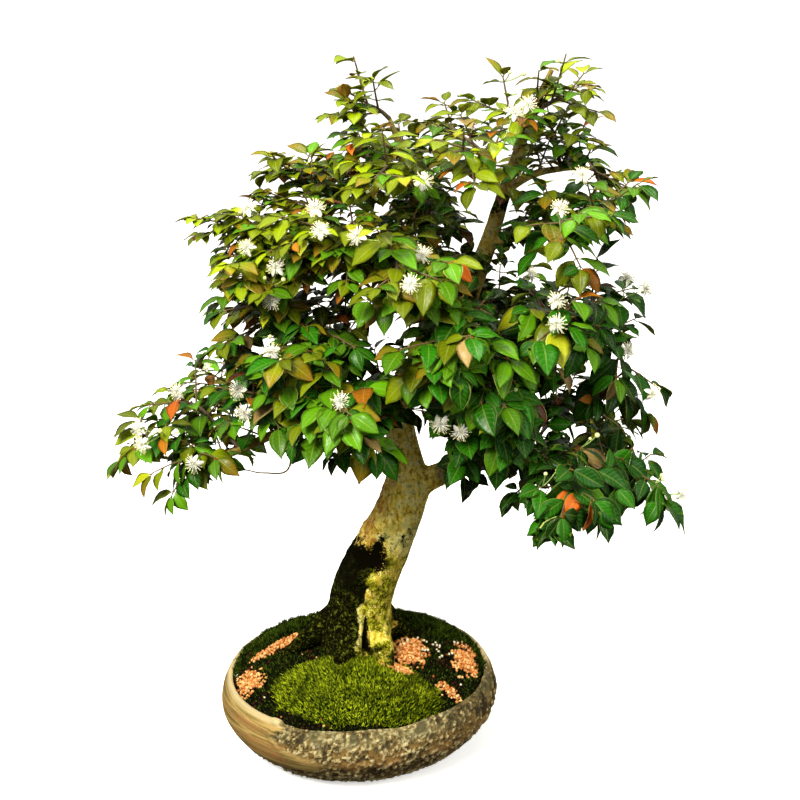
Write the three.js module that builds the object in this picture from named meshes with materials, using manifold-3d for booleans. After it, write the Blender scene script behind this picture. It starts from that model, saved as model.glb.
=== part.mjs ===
// Surinam cherry bonsai in a round handmade pot. Millimetres, +Z up.
// The origin is the centre of the pot's flat foot. The trunk leans towards +X,
// and the front of the tree, with the bright moss cushion, faces -Y.

import * as THREE from "three";
import { mergeVertices } from "three/addons/utils/BufferGeometryUtils.js";
import Module from "manifold-3d";

const wasm = await Module();
wasm.setup();

// Driving dimensions

// Clearance between two pieces that touch on the real tree.
const SEAT_GAP = 0.35;

// Pot: an incurved bowl. The profiles are [radius, height] pairs.
const POT_SIDES = 26;
const POT_HEIGHT = 65;
const POT_OUTER = [[82, 0], [94.5, 4], [109, 17], [118.5, 30], [122.3, 42], [120.5, 54], [117, 62]];
const POT_RIM = [[114.5, POT_HEIGHT], [111.5, 63.5]];
const POT_INNER = [[113, 54], [114.5, 42], [111, 29], [102, 17], [88, 9]];
const POT_FLOOR = 9;
const RIM_ZONE_FROM = 50;
const RIM_CHIP_DEPTH = 2.6;
const ROUGH_FROM = THREE.MathUtils.degToRad(-123);
const ROUGH_TO = THREE.MathUtils.degToRad(2);
const ROUGH_BORDER = THREE.MathUtils.degToRad(9);
// The wall's waves: [reach, waves round the pot, phase], and the same for the chips in the rim.
const WALL_WAVES = [[0.8, 2, 0.6], [0.5, 3, 2]];
const CHIP_WAVES = [[0.3, 9, 0], [0.2, 15, 1]];
const CHIP_MEAN = 0.75;

// Drain holes through the floor, and the square screens that cover them.
const DRAIN_HOLES = [[-50, 8], [50, -8]];
const DRAIN_RADIUS = 11;
const DRAIN_SIDES = 12;
const CUT_SPARE = 5;
const SCREEN_SIDE = 34;
const SCREEN_THICKNESS = 1.6;
const SCREEN_SLOT = 11;
const SCREEN_BAR = 4;

// Soil: a dome that rises from the rim to the foot of the trunk. Its edge is low in front, high behind.
const SOIL_EDGE_HEIGHT = 60.5;
const SOIL_EDGE_TILT = 3.5;
const SOIL_DOME_RISE = 27.5;
const SOIL_RADIUS = 111.2;
const SOIL_TOP_RINGS = [0.4, 0.75];
const SOIL_WALL_GAP = 0.5;

// Wood: [x, y, z, radius] along each axis. Every limb starts inside its parent.
const TRUNK_SIDES = 10;
const LIMB_SIDES = 4;
const ROOT_SIDES = 6;
const WOOD = {
  trunk: [
    [0, 0, 64, 29], [0, 0, 86, 32], [1, 0, 102, 31], [3, 0, 119, 29], [6, 0, 136, 27], [12, 0, 152, 25.8],
    [23, 0, 177, 24.4], [36, 0, 204, 22.2], [43, 0, 220, 20.8], [48, 0, 237, 19.6], [48, 1, 253, 16.2],
    [46, 2, 269, 13.8], [43, 4, 290, 12.6], [42, 6, 312, 12.6], [57, 8, 336, 12], [79, 8, 356, 11.4],
    [93, 8, 378, 10.4], [105, 6, 407, 9], [120, 4, 446, 7.2], [134, 2, 490, 5.6], [154, 0, 547, 3.6],
    [171, -2, 586, 2],
  ],
  lowRight: [
    [54, -2, 236, 12], [72, -5, 246, 10.5], [100, -14, 262, 8], [135, -24, 272, 6.3], [176, -32, 272, 4.8],
    [217, -38, 262, 3.4], [246, -44, 248, 2],
  ],
  lowRightFront: [[135, -24, 272, 4.5], [150, -52, 276, 3.8], [162, -84, 272, 3], [170, -108, 262, 1.8]],
  lowRightBack: [[135, -24, 272, 4.5], [156, 6, 282, 3.8], [178, 40, 286, 3], [196, 68, 280, 1.8]],
  midRight: [
    [76, 6, 354, 6.5], [104, 0, 358, 5.5], [144, -15, 364, 4.4], [185, -25, 367, 3.2], [222, -30, 369, 1.8],
  ],
  highRight: [[120, 4, 446, 4.5], [150, -4, 454, 3.8], [182, -10, 457, 2.8], [210, -16, 470, 1.6]],
  topRight: [[134, 2, 490, 4], [158, 16, 500, 3.3], [186, 28, 502, 2.4], [208, 34, 500, 1.5]],
  leftLeader: [
    [57, 8, 336, 9], [66, 12, 362, 8], [72, 18, 396, 7], [74, 20, 421, 6.4], [69, 20, 455, 5.4],
    [59, 16, 490, 4.4], [50, 10, 524, 3.2], [42, 6, 550, 1.8],
  ],
  highLeft: [
    [73, 19, 416, 5.5], [53, 2, 422, 4.8], [34, -10, 422, 4.3], [6, -20, 433, 3.6], [-25, -24, 451, 3],
    [-56, -24, 466, 2.3], [-80, -22, 476, 1.5],
  ],
  midLeft: [
    [72, 17, 394, 5], [46, -4, 396, 4.4], [21, -14, 395, 3.9], [-11, -24, 392, 3.2], [-44, -30, 391, 2.5],
    [-70, -32, 392, 1.5],
  ],
  lowLeft: [
    [43, 3, 288, 7], [22, -4, 296, 6], [0, -8, 302, 5.2], [-35, -14, 301, 4.6], [-67, -18, 291, 3.9],
    [-99, -20, 278, 3.2], [-134, -22, 273, 2.4], [-156, -24, 277, 1.5],
  ],
  lowLeftBack: [[-35, -14, 301, 3.8], [-58, 16, 306, 3.2], [-84, 50, 308, 2.5], [-110, 80, 302, 1.5]],
  lowFront: [[43, 4, 300, 6], [34, -28, 316, 4.8], [22, -64, 330, 3.6], [10, -98, 336, 2]],
  midFront: [[79, 6, 352, 5.5], [86, -30, 372, 4.5], [88, -68, 386, 3.4], [84, -102, 394, 1.9]],
  highFront: [[73, 18, 424, 5], [64, -20, 442, 4.2], [54, -58, 456, 3.2], [46, -94, 464, 1.8]],
  lowBack: [[42, 8, 306, 6], [26, 42, 322, 4.8], [4, 80, 332, 3.5], [-20, 114, 330, 2]],
  midBack: [[79, 10, 354, 6], [102, 46, 370, 4.8], [124, 84, 376, 3.5], [142, 116, 374, 2]],
  highBack: [[74, 22, 425, 5], [76, 58, 446, 4.2], [74, 94, 460, 3.1], [70, 124, 462, 1.8]],
};
const ROOTS = [
  [[-8, 2, 120, 15], [-28, 3, 104, 12], [-48, 0, 90, 8], [-66, -5, 78, 4]],
  [[14, -12, 112, 13], [22, -24, 98, 10.5], [26, -38, 88, 7], [30, -52, 76, 4]],
  [[-6, -12, 110, 14], [-9, -24, 98, 12], [-14, -40, 88, 7], [-20, -54, 76, 4]],
  [[18, 8, 114, 14], [34, 14, 97, 10], [48, 19, 84, 6], [60, 23, 72, 3.5]],
  [[0, 14, 112, 14], [-4, 30, 99, 11], [-8, 48, 88, 6], [-11, 62, 76, 3.5]],
];

// Leafy sprays: [limb, share of its length, tip x, y, z, leaf length, droop].
// Droop runs from 0, leaves held level, to about 1, leaves hanging.
const SPRAYS = [
  ["lowLeft", 1, -170, -30, 293, 27, 0.7],
  ["lowLeft", 0.8, -128, -60, 287, 28, 0.8],
  ["lowLeft", 0.68, -150, 25, 310, 26, 0.5],
  ["lowLeft", 0.48, -74, -90, 349, 29, 0.45],
  ["lowLeftBack", 1, -134, 105, 282, 27, 0.6],
  ["midLeft", 1, -86, -38, 370, 26, 0.45],
  ["midLeft", 0.66, -44, -110, 365, 29, 0.6],
  ["midLeft", 0.74, -92, 50, 381, 26, 0.5],
  ["highLeft", 1, -83, -28, 472, 23, 0.3],
  ["highLeft", 0.72, -75, -88, 441, 26, 0.5],
  ["highLeft", 0.58, -40, 6, 517, 24, 0.2],
  ["highLeft", 0.42, -18, -115, 486, 27, 0.4],
  ["leftLeader", 1, 22, 0, 563, 24, 0.1],
  ["leftLeader", 0.85, 14, -30, 538, 24, 0.1],
  ["leftLeader", 0.7, 30, -100, 522, 27, 0.3],
  ["leftLeader", 0.76, -4, 95, 487, 26, 0.3],
  ["trunk", 0.955, 192, -4, 567, 25, 0.1],
  ["trunk", 0.94, 133, -34, 559, 25, 0.2],
  ["trunk", 0.9, 90, -90, 538, 27, 0.35],
  ["trunk", 0.9, 85, 90, 533, 26, 0.3],
  ["topRight", 1, 216, 44, 488, 26, 0.3],
  ["topRight", 0.62, 172, 20, 539, 25, 0.2],
  ["highRight", 0.95, 202, -30, 477, 28, 0.4],
  ["highRight", 0.55, 168, -105, 472, 30, 0.5],
  ["midRight", 1, 226, -50, 329, 30, 0.8],
  ["midRight", 0.82, 208, -6, 405, 28, 0.3],
  ["midRight", 0.55, 172, -120, 410, 32, 0.6],
  ["midRight", 0.64, 201, 85, 363, 30, 0.5],
  ["lowRight", 1, 234, -68, 266, 31, 0.95],
  ["lowRight", 0.42, 111, -95, 324, 33, 0.6],
  ["lowRightFront", 1, 175, -130, 282, 34, 0.95],
  ["lowRightFront", 0.5, 209, -95, 279, 34, 0.95],
  ["lowRightBack", 1, 239, 88, 250, 30, 0.8],
  ["lowFront", 1, -12, -140, 358, 33, 0.6],
  ["midFront", 1, 75, -145, 401, 33, 0.6],
  ["midFront", 0.5, 120, -125, 349, 34, 0.75],
  ["highFront", 1, 46, -143, 453, 30, 0.5],
  ["lowBack", 1, -48, 145, 317, 29, 0.6],
  ["midBack", 1, 157, 145, 360, 30, 0.6],
  ["highBack", 1, 63, 150, 450, 28, 0.4],
];

// How a spray grows.
const GROWTH_SEED = 4100;
const STEM_RISE = 0.1;
const STEM_WIGGLE = 0.05;
const STEM_BASE_RADIUS = 1.9;
const STEM_TIP_RADIUS = 1.1;
const STEM_STEPS = [0, 0.33, 0.67, 1];
const SHOOT_BASE_RADIUS = 1.3;
const SHOOT_TIP_RADIUS = 0.9;
const SHOOT_STEPS = [0, 0.12, 0.56, 1];
const SHOOT_SPACING = 11;
const SHOOTS_LEAST = 5;
const SHOOTS_MOST = 8;
const MAIN_SHOOTS = [1, 4];
const SHOOT_REACH = 42;
const SHOOT_REACH_LEAST = 0.7;
const SHOOT_REACH_SPREAD = 0.5;
const SHOOT_REACH_AT_BASE = 1.1;
const SHOOT_REACH_LOSS = 0.4;
const SHOOT_CURL = 0.12;
const SHOOT_SAG = 0.3;
const SHOOT_ANGLE = 0.95;
const SHOOT_ANGLE_SPREAD = 0.3;
const SHOOT_TURN = THREE.MathUtils.degToRad(137.5);
const SHOOT_FLATNESS = 0.6;
const BARE_SHARE = 0.22;
const LAST_SHOOT_AT = 0.92;
const STEM_LEAVES_FROM = 0.5;
const FIRST_LEAF_AT = 12;
const LEAF_SPACING_SHARE = 0.47;
const LAST_PAIR_AT = 0.9;
const PAIR_TURNS = [-0.15, 0.55];
const PAIR_TURN_SPREAD = 0.5;
const LEAVES_PER_SPRAY = 5;
const LEAF_CLEARANCE = 0.15;

// Leafy twigs inside the crown: where they leave a limb or the trunk, and how they grow.
const INNER_SEED = 8800;
const INNER_SHARES = [0.25, 0.42, 0.58, 0.72, 0.86];
const INNER_TRUNK_SHARES = [0.66, 0.72, 0.78, 0.84, 0.9, 0.96];
const INNER_SHARE_SPREAD = 0.12;
const INNER_TWIGS_AT_EACH = 2;
const INNER_REACH = 38;
const INNER_REACH_LEAST = 0.7;
const INNER_REACH_SPREAD = 0.6;
const INNER_OUTWARD = 0.45;
const INNER_SAG = 0.08;
const INNER_LEAF = 26;
const INNER_DROOP = 0.45;
// Of the twigs one in this many is kept, and this many leaves on it.
const INNER_KEPT_EACH = 6;
const INNER_LEAVES_KEPT = 2;

// How a leaf stands on its shoot. The end leaves of a shoot are smaller and point onwards.
const LEAF_SIZE_LEAST = 0.72;
const LEAF_SIZE_SPREAD = 0.46;
const END_LEAF_SIZE = 0.86;
const LEAF_FORWARD = 0.5;
const END_LEAF_FORWARD = 0.95;
const LEAF_YAW = 0.35;
const LEAF_ASIDE = 0.9;
const END_LEAF_ASIDE = 0.55;
const LEAF_HANG = 0.1;
const LEAF_ROLL = 0.9;
const LEAF_PITCH = 0.7;
const FACE_UP_LOSS = 0.35;
const FACE_OUTWARD = 0.25;
const FACE_OUTWARD_GAIN = 0.45;

// Leaf: an ovate blade with a drawn-out tip, as shares of its length.
const LEAF_HALF_WIDTH = 0.27;
const LEAF_WIDE_AT = 0.34;
const LEAF_NARROW_AT = 0.7;
const LEAF_NARROW_SHARE = 0.62;
const LEAF_FOLD = 0.22;
const LEAF_ARCH = 0.16;
const LEAF_RIB_AT = 0.42;
const LEAF_RIB_THICKNESS = 1.4;

// Flowers: [x, y, z, how many stand together, 1 where the bunch is a piece of its own].
const BLOOMS = [
  [-8, -124, 496, 2, 1], [76, -116, 509, 1, 1], [56, -154, 450, 1, 1], [154, -124, 423, 2, 1],
  [214, -62, 384, 1, 1], [-78, -94, 348, 2, 1], [-170, -52, 305, 3, 1],
  [14, -126, 480, 1, 0], [-69, -74, 465, 1, 0], [-43, -86, 451, 1, 0], [-48, -90, 427, 1, 0],
  [-50, -92, 387, 1, 0], [-60, -40, 505, 1, 0], [136, -62, 562, 1, 0], [154, -52, 560, 1, 0],
  [162, -96, 497, 1, 0], [178, -62, 510, 1, 0], [232, -32, 421, 2, 0], [95, -124, 467, 1, 0],
  [-120, -40, 345, 1, 0], [0, -146, 363, 1, 0], [-116, -72, 293, 1, 0], [77, -126, 325, 2, 0],
  [150, -118, 272, 1, 0], [262, -74, 250, 2, 0], [246, -62, 336, 1, 0],
  [-60, 110, 400, 1, 0], [60, 150, 480, 1, 0], [170, 130, 400, 2, 0], [-120, 90, 320, 1, 0],
  [200, 90, 300, 1, 0], [20, 130, 360, 1, 0],
];
const BLOOM_SEED = 77;
const BLOOM_PETAL_REACH = 7.4;
const BLOOM_NOTCH_REACH = 2.2;
const BLOOM_PETAL_BACK = 2.4;
const BLOOM_STAMEN_REACH = 5.6;
const BLOOM_STAMEN_RISE = 5.2;
const BLOOM_HEART_REACH = 1.6;
const BLOOM_HEART_RISE = 3.2;
const PEDICEL_RADIUS = 0.7;
const PEDICEL_SHORTEST = 8;
const PEDICEL_LONGEST = 20;
const FORK_AT = 5;
const STALKS_PART_AT = 0.8;
const STALK_POINT_SHARE = 0.15;
// How much a bunch's heading, and a flower's axis, turn outwards from the crown and up.
const HEADING_OUTWARD = 0.4;
const AXIS_ALONG = 0.6;
const AXIS_OUTWARD = 0.8;
const AXIS_UP = 0.2;
const BLOOM_SPREAD = 9;
const BLOOM_CLEARANCE = 10;
const STEM_FLOWERS_AT = [0.6, 0.9];
const SHOOT_FLOWERS_AT = [0.35, 0.6, 0.85];

// Where the middle of the leafy crown lies: leaves and flowers turn away from it.
const CROWN_MIDDLE = new THREE.Vector3(60, 10, 370);

// Ground cover: [centre x, y, half-length, half-width, turn in degrees, thickness].
const MOSS_PADS = {
  moss_cushion: [-2, -63, 72, 39, -8, 9],
  moss_dark_left: [-71, 56, 42, 14, 45, 5],
  moss_dark_right: [60, 62, 46, 21, -42, 7],
};
const GRAIN_PADS = {
  grain_patch_left: [-94, -28, 11, 17, 14, 3],
  grain_patch_back: [-68, 20, 26, 7.5, 26, 3],
  grain_patch_trunk: [47, -10, 13, 23, -12, 3],
  grain_patch_right: [96, -1, 11, 24, -4, 3],
  grain_patch_front: [79, -55, 11, 5, -30, 3],
};
const PAD_ROOT = 3;
// A pad's outline varies by this much, and its top is [share of its reach, share of its thickness].
const PAD_WAVE = 0.06;
const PAD_SHOULDER = [0.68, 0.9];
const PAD_EDGE = [1, 0.3];
const PAD_UNDERCUT = 0.97;
const MOSS_BUMP = 2;
const GRAIN_BUMP = 0.4;
const MOSS_SEED = 900;
const GRAIN_SEED = 700;
const GRAIN_STONE_SEED = 500;
const MOSS_SECTORS = 12;
const GRAIN_SECTORS = 7;
const GRAIN_RADIUS = 2.8;
const GRAINS_PER_PAD = 3;
const GRAIN_SPREAD = 0.72;
const GRAIN_PROUD = 0.85;

// Materials

function material(name, colour, roughness) {
  const made = new THREE.MeshStandardMaterial({ color: colour, roughness, metalness: 0 });
  made.name = name;
  return made;
}

const MATERIALS = {
  clay: material("clay", 0x7d705a, 0.85),
  screen: material("screen", 0x23262a, 0.6),
  soil: material("soil", 0x2b2018, 0.98),
  bark: material("bark", 0x7b6f45, 0.9),
  leaf: material("leaf", 0x3f7a26, 0.4),
  petal: material("petal", 0xf6f5ea, 0.6),
  moss: material("moss", 0x7fa51c, 0.95),
  darkMoss: material("dark_moss", 0x25351a, 0.97),
  grain: material("grain", 0xc98a55, 0.95),
};

// Solids and meshes

// A closed geometry as a solid, with its faces turned outwards.
function solidFrom(geometry) {
  const bare = new THREE.BufferGeometry();
  bare.setAttribute("position", geometry.getAttribute("position"));
  if (geometry.index) {
    bare.setIndex(geometry.index);
  }
  const merged = mergeVertices(bare, 1e-3);
  const corners = merged.index.array;
  const kept = [];
  for (let i = 0; i < corners.length; i += 3) {
    const [a, b, c] = corners.slice(i, i + 3);
    if (a !== b && b !== c && c !== a) {
      kept.push(a, b, c);
    }
  }
  const vertProperties = new Float32Array(merged.attributes.position.array);
  const make = (triVerts) => new wasm.Manifold(new wasm.Mesh({ numProp: 3, vertProperties, triVerts }));
  const solid = make(new Uint32Array(kept));
  if (solid.volume() >= 0) {
    return solid;
  }
  for (let i = 0; i < kept.length; i += 3) {
    [kept[i + 1], kept[i + 2]] = [kept[i + 2], kept[i + 1]];
  }
  return make(new Uint32Array(kept));
}

function solidOf(points, triangles) {
  const geometry = new THREE.BufferGeometry();
  geometry.setFromPoints(points);
  geometry.setIndex(triangles.flat());
  return solidFrom(geometry);
}

// Rings of equal count, stitched one to the next. An end is a flat cap, or a ring of one point.
function loft(rings) {
  const points = [];
  const starts = [];
  for (const ring of rings) {
    starts.push(points.length);
    points.push(...ring);
  }
  const triangles = [];
  for (let r = 0; r + 1 < rings.length; r++) {
    const near = rings[r].length;
    const far = rings[r + 1].length;
    const count = Math.max(near, far);
    for (let i = 0; i < count; i++) {
      const next = (i + 1) % count;
      const a = starts[r] + (near === 1 ? 0 : i);
      const b = starts[r] + (near === 1 ? 0 : next);
      const c = starts[r + 1] + (far === 1 ? 0 : next);
      const d = starts[r + 1] + (far === 1 ? 0 : i);
      if (near > 1) {
        triangles.push([a, b, c]);
      }
      if (far > 1) {
        triangles.push([a, c, d]);
      }
    }
  }
  const last = rings.length - 1;
  for (let i = 1; i + 1 < rings[0].length; i++) {
    triangles.push([0, i + 1, i]);
  }
  for (let i = 1; i + 1 < rings[last].length; i++) {
    triangles.push([starts[last], starts[last] + i, starts[last] + i + 1]);
  }
  return solidOf(points, triangles);
}

function meshOf(name, solid, look) {
  const data = solid.getMesh();
  const geometry = new THREE.BufferGeometry();
  geometry.setAttribute("position", new THREE.BufferAttribute(data.vertProperties, 3));
  geometry.setIndex(new THREE.BufferAttribute(data.triVerts, 1));
  geometry.computeVertexNormals();
  const mesh = new THREE.Mesh(geometry, look);
  mesh.name = name;
  return mesh;
}

function largestBody(solid) {
  const bodies = solid.decompose();
  return bodies.reduce((best, body) => (body.volume() > best.volume() ? body : best));
}

// Seeded draws from 0 to 1: one linear congruential step each, in 32 bits.
function seededDraws(seed) {
  let state = seed >>> 0;
  return () => {
    state = (Math.imul(state, 1664525) + 1013904223) >>> 0;
    return state / 4294967296;
  };
}

const UP = new THREE.Vector3(0, 0, 1);

function vector(x, y, z) {
  return new THREE.Vector3(x, y, z);
}

// The sum of vectors, each times its share.
function blend(...pairs) {
  const sum = vector(0, 0, 0);
  for (const [direction, share] of pairs) {
    sum.addScaledVector(direction, share);
  }
  return sum;
}

function smoothRamp(from, to, value) {
  return THREE.MathUtils.smoothstep(value, from, to);
}

// Tubes: one ring of vertices at each point, turned to the way the axis runs

function ringFrame(points, index) {
  const before = points[Math.max(index - 1, 0)];
  const after = points[Math.min(index + 1, points.length - 1)];
  return after.clone().sub(before).normalize();
}

// A tube through the points. The grown tube is wider and longer by the same amount,
// and a pointed one starts at a single point.
function tube(points, radii, sides, grown = 0, pointed = false) {
  const rings = [];
  let across = vector(0, 1, 0);
  points.forEach((point, index) => {
    const along = ringFrame(points, index);
    across = across.addScaledVector(along, -across.dot(along)).normalize();
    const other = along.clone().cross(across);
    const centre = point.clone();
    if (index === 0) {
      centre.addScaledVector(along, -grown);
    }
    if (index === points.length - 1) {
      centre.addScaledVector(along, grown);
    }
    const radius = radii[index] + grown;
    const ring = [];
    for (let k = 0; k < sides; k++) {
      const angle = (2 * Math.PI * k) / sides;
      ring.push(blend([centre, 1], [across, radius * Math.cos(angle)], [other, radius * Math.sin(angle)]));
    }
    rings.push(pointed && index === 0 ? [centre] : ring);
  });
  return loft(rings);
}

function stickOf(rows, sides, grown) {
  const points = rows.map(([x, y, z]) => vector(x, y, z));
  const radii = rows.map((row) => row[3]);
  return tube(points, radii, sides, grown);
}

// Pot

// How rough the clay is at an angle round the pot: 0 smooth, 1 rough and chipped.
function roughShare(angle) {
  const rise = smoothRamp(ROUGH_FROM - ROUGH_BORDER, ROUGH_FROM + ROUGH_BORDER, angle);
  const fall = 1 - smoothRamp(ROUGH_TO - ROUGH_BORDER, ROUGH_TO + ROUGH_BORDER, angle);
  return rise * fall;
}

function waveSum(waves, angle) {
  return waves.reduce((sum, [reach, count, phase]) => sum + reach * Math.sin(count * angle + phase), 0);
}

// The handmade wall: out of round everywhere, and chipped at the rim where it is rough.
function potPoint(radius, height, angle) {
  const chips = CHIP_MEAN + waveSum(CHIP_WAVES, angle);
  const rimShare = Math.max(0, (height - RIM_ZONE_FROM) / (POT_HEIGHT - RIM_ZONE_FROM));
  const drop = RIM_CHIP_DEPTH * roughShare(angle) * chips * rimShare;
  const reach = radius + waveSum(WALL_WAVES, angle);
  return vector(reach * Math.cos(angle), reach * Math.sin(angle), height - drop);
}

function potRing(radius, height) {
  const ring = [];
  for (let k = 0; k < POT_SIDES; k++) {
    ring.push(potPoint(radius, height, -Math.PI + (2 * Math.PI * k) / POT_SIDES));
  }
  return ring;
}

function cylinderSolid(radius, bottom, top, x, y, sides) {
  const geometry = new THREE.CylinderGeometry(radius, radius, top - bottom, sides);
  geometry.rotateX(Math.PI / 2);
  geometry.translate(x, y, (top + bottom) / 2);
  return solidFrom(geometry);
}

function potSolid() {
  const rings = [[vector(0, 0, 0)]];
  for (const [radius, height] of [...POT_OUTER, ...POT_RIM, ...POT_INNER]) {
    rings.push(potRing(radius, height));
  }
  rings.push([vector(0, 0, POT_FLOOR)]);
  let solid = loft(rings);
  for (const [x, y] of DRAIN_HOLES) {
    solid = solid.subtract(cylinderSolid(DRAIN_RADIUS, -CUT_SPARE, POT_FLOOR + CUT_SPARE, x, y, DRAIN_SIDES));
  }
  return solid;
}

// Drain screens

function boxSolid(width, depth, bottom, top, x, y) {
  const geometry = new THREE.BoxGeometry(width, depth, top - bottom);
  geometry.translate(x, y, (top + bottom) / 2);
  return solidFrom(geometry);
}

function screenSolid(x, y) {
  const bottom = POT_FLOOR + SEAT_GAP;
  let solid = boxSolid(SCREEN_SIDE, SCREEN_SIDE, bottom, bottom + SCREEN_THICKNESS, x, y);
  const middle = (SCREEN_SLOT + SCREEN_BAR) / 2;
  for (const cx of [x - middle, x + middle]) {
    for (const cy of [y - middle, y + middle]) {
      solid = solid.subtract(boxSolid(SCREEN_SLOT, SCREEN_SLOT, 0, 2 * POT_FLOOR, cx, cy));
    }
  }
  return solid;
}

// Soil

function soilHeight(x, y) {
  const share = (x * x + y * y) / (SOIL_RADIUS * SOIL_RADIUS);
  return SOIL_EDGE_HEIGHT + (SOIL_EDGE_TILT * y) / SOIL_RADIUS + SOIL_DOME_RISE * (1 - share);
}

// The dome and the mass under it. The side runs parallel to the pot's inner wall.
function soilBody(raised) {
  const rings = [[vector(0, 0, soilHeight(0, 0) + raised)]];
  const widest = 1 - SOIL_WALL_GAP / SOIL_RADIUS;
  for (const share of [...SOIL_TOP_RINGS, widest]) {
    const ring = potRing(share * SOIL_RADIUS, 0);
    rings.push(ring.map((p) => vector(p.x, p.y, soilHeight(p.x, p.y) + raised)));
  }
  for (const [radius, height] of POT_INNER) {
    rings.push(potRing(radius - SOIL_WALL_GAP, height + SEAT_GAP));
  }
  rings.push([vector(0, 0, POT_FLOOR + SEAT_GAP)]);
  return loft(rings);
}

// Wood: trunk, roots and limbs grown as one

function woodSolid(grown) {
  const sticks = Object.entries(WOOD).map(([name, rows]) =>
    stickOf(rows, name === "trunk" ? TRUNK_SIDES : LIMB_SIDES, grown),
  );
  for (const rows of ROOTS) {
    sticks.push(stickOf(rows, ROOT_SIDES, grown));
  }
  return wasm.Manifold.union(sticks);
}

// The point at a share of a limb's length, counted evenly over its rows.
function pointOnLimb(name, share) {
  const rows = WOOD[name];
  const place = share * (rows.length - 1);
  const row = Math.min(Math.floor(place), rows.length - 2);
  const start = vector(...rows[row].slice(0, 3));
  const end = vector(...rows[row + 1].slice(0, 3));
  return start.lerp(end, place - row);
}

// Growth of a spray: a stem, side shoots along it, and pairs of leaves on each

// The point at a share of a path, where steps gives the share of each of its points.
function alongPath(path, steps, share) {
  let step = 0;
  while (step < steps.length - 2 && share > steps[step + 1]) {
    step += 1;
  }
  const part = (share - steps[step]) / (steps[step + 1] - steps[step]);
  return path[step].clone().lerp(path[step + 1], part);
}

function headingAt(path, steps, share) {
  const reach = 0.08;
  return alongPath(path, steps, share + reach).sub(alongPath(path, steps, share - reach)).normalize();
}

function sideways(along) {
  const level = UP.clone().cross(along);
  if (level.length() < 0.05) {
    level.set(0, 1, 0);
  }
  return level.normalize();
}

function stemPath(base, tip, droop, draw) {
  const reach = tip.clone().sub(base);
  const length = reach.length();
  const side = sideways(reach.clone().normalize());
  const phase = 2 * Math.PI * draw();
  const path = [];
  for (const t of STEM_STEPS) {
    const rise = STEM_RISE * (1 + droop) * length * Math.sin(Math.PI * t);
    const wander = STEM_WIGGLE * length * Math.sin(Math.PI * t) * Math.sin(2 * Math.PI * t + phase);
    path.push(blend([base, 1], [reach, t], [UP, rise], [side, wander]));
  }
  return path;
}

function shootPath(start, direction, length, droop) {
  const path = [];
  const curl = SHOOT_CURL - SHOOT_SAG * droop;
  for (const t of SHOOT_STEPS) {
    path.push(blend([start, 1], [direction, length * t], [UP, length * curl * t * t]));
  }
  return path;
}

// One leaf slot: where it is rooted, the way it points and the way its face looks.
function leafSlot(node, along, side, terminal, pairTurn, leafLength, droop, draw) {
  const size = leafLength * (LEAF_SIZE_LEAST + LEAF_SIZE_SPREAD * draw()) * (terminal ? END_LEAF_SIZE : 1);
  const yaw = LEAF_YAW * (draw() - 0.5);
  const hang = droop * (0.5 + draw()) + LEAF_HANG;
  const tiltA = draw() - 0.5;
  const tiltB = draw() - 0.5;
  const level = sideways(along);
  const over = along.clone().cross(level);
  const lateral = blend([level, Math.cos(pairTurn)], [over, Math.sin(pairTurn)]);
  const forward = (terminal ? END_LEAF_FORWARD : LEAF_FORWARD) + yaw;
  const aside = side * (terminal ? END_LEAF_ASIDE : LEAF_ASIDE);
  const direction = blend([along, forward], [lateral, aside], [UP, -hang]).normalize();
  const outward = node.clone().sub(CROWN_MIDDLE).normalize();
  const face = blend(
    [UP, 1 - FACE_UP_LOSS * droop],
    [outward, FACE_OUTWARD + FACE_OUTWARD_GAIN * droop],
    [level, LEAF_ROLL * tiltA],
    [along, LEAF_PITCH * tiltB],
  );
  face.addScaledVector(direction, -face.dot(direction)).normalize();
  return { node, direction, face, size };
}

// Leaf pairs from one share of a path to its end.
function leavesAlong(path, steps, from, length, leafLength, droop, draw) {
  const slots = [];
  const spacing = leafLength * LEAF_SPACING_SHARE;
  const pairs = Math.max(1, Math.floor((length - FIRST_LEAF_AT) / spacing) + 1);
  for (let pair = 0; pair <= pairs; pair++) {
    const terminal = pair === pairs;
    const wanted = (FIRST_LEAF_AT + pair * spacing) / length;
    const share = terminal ? 1 - 1 / length : Math.min(LAST_PAIR_AT, wanted);
    const place = from + (1 - from) * share;
    const node = alongPath(path, steps, place);
    const along = headingAt(path, steps, place);
    const pairTurn = PAIR_TURNS[pair % 2] + PAIR_TURN_SPREAD * (draw() - 0.5);
    for (const side of [-1, 1]) {
      const slot = leafSlot(node, along, side, terminal, pairTurn, leafLength, droop, draw);
      slots.push({ ...slot, terminal, middle: pair === Math.floor(pairs / 2) && side > 0 });
    }
  }
  return slots;
}

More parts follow.
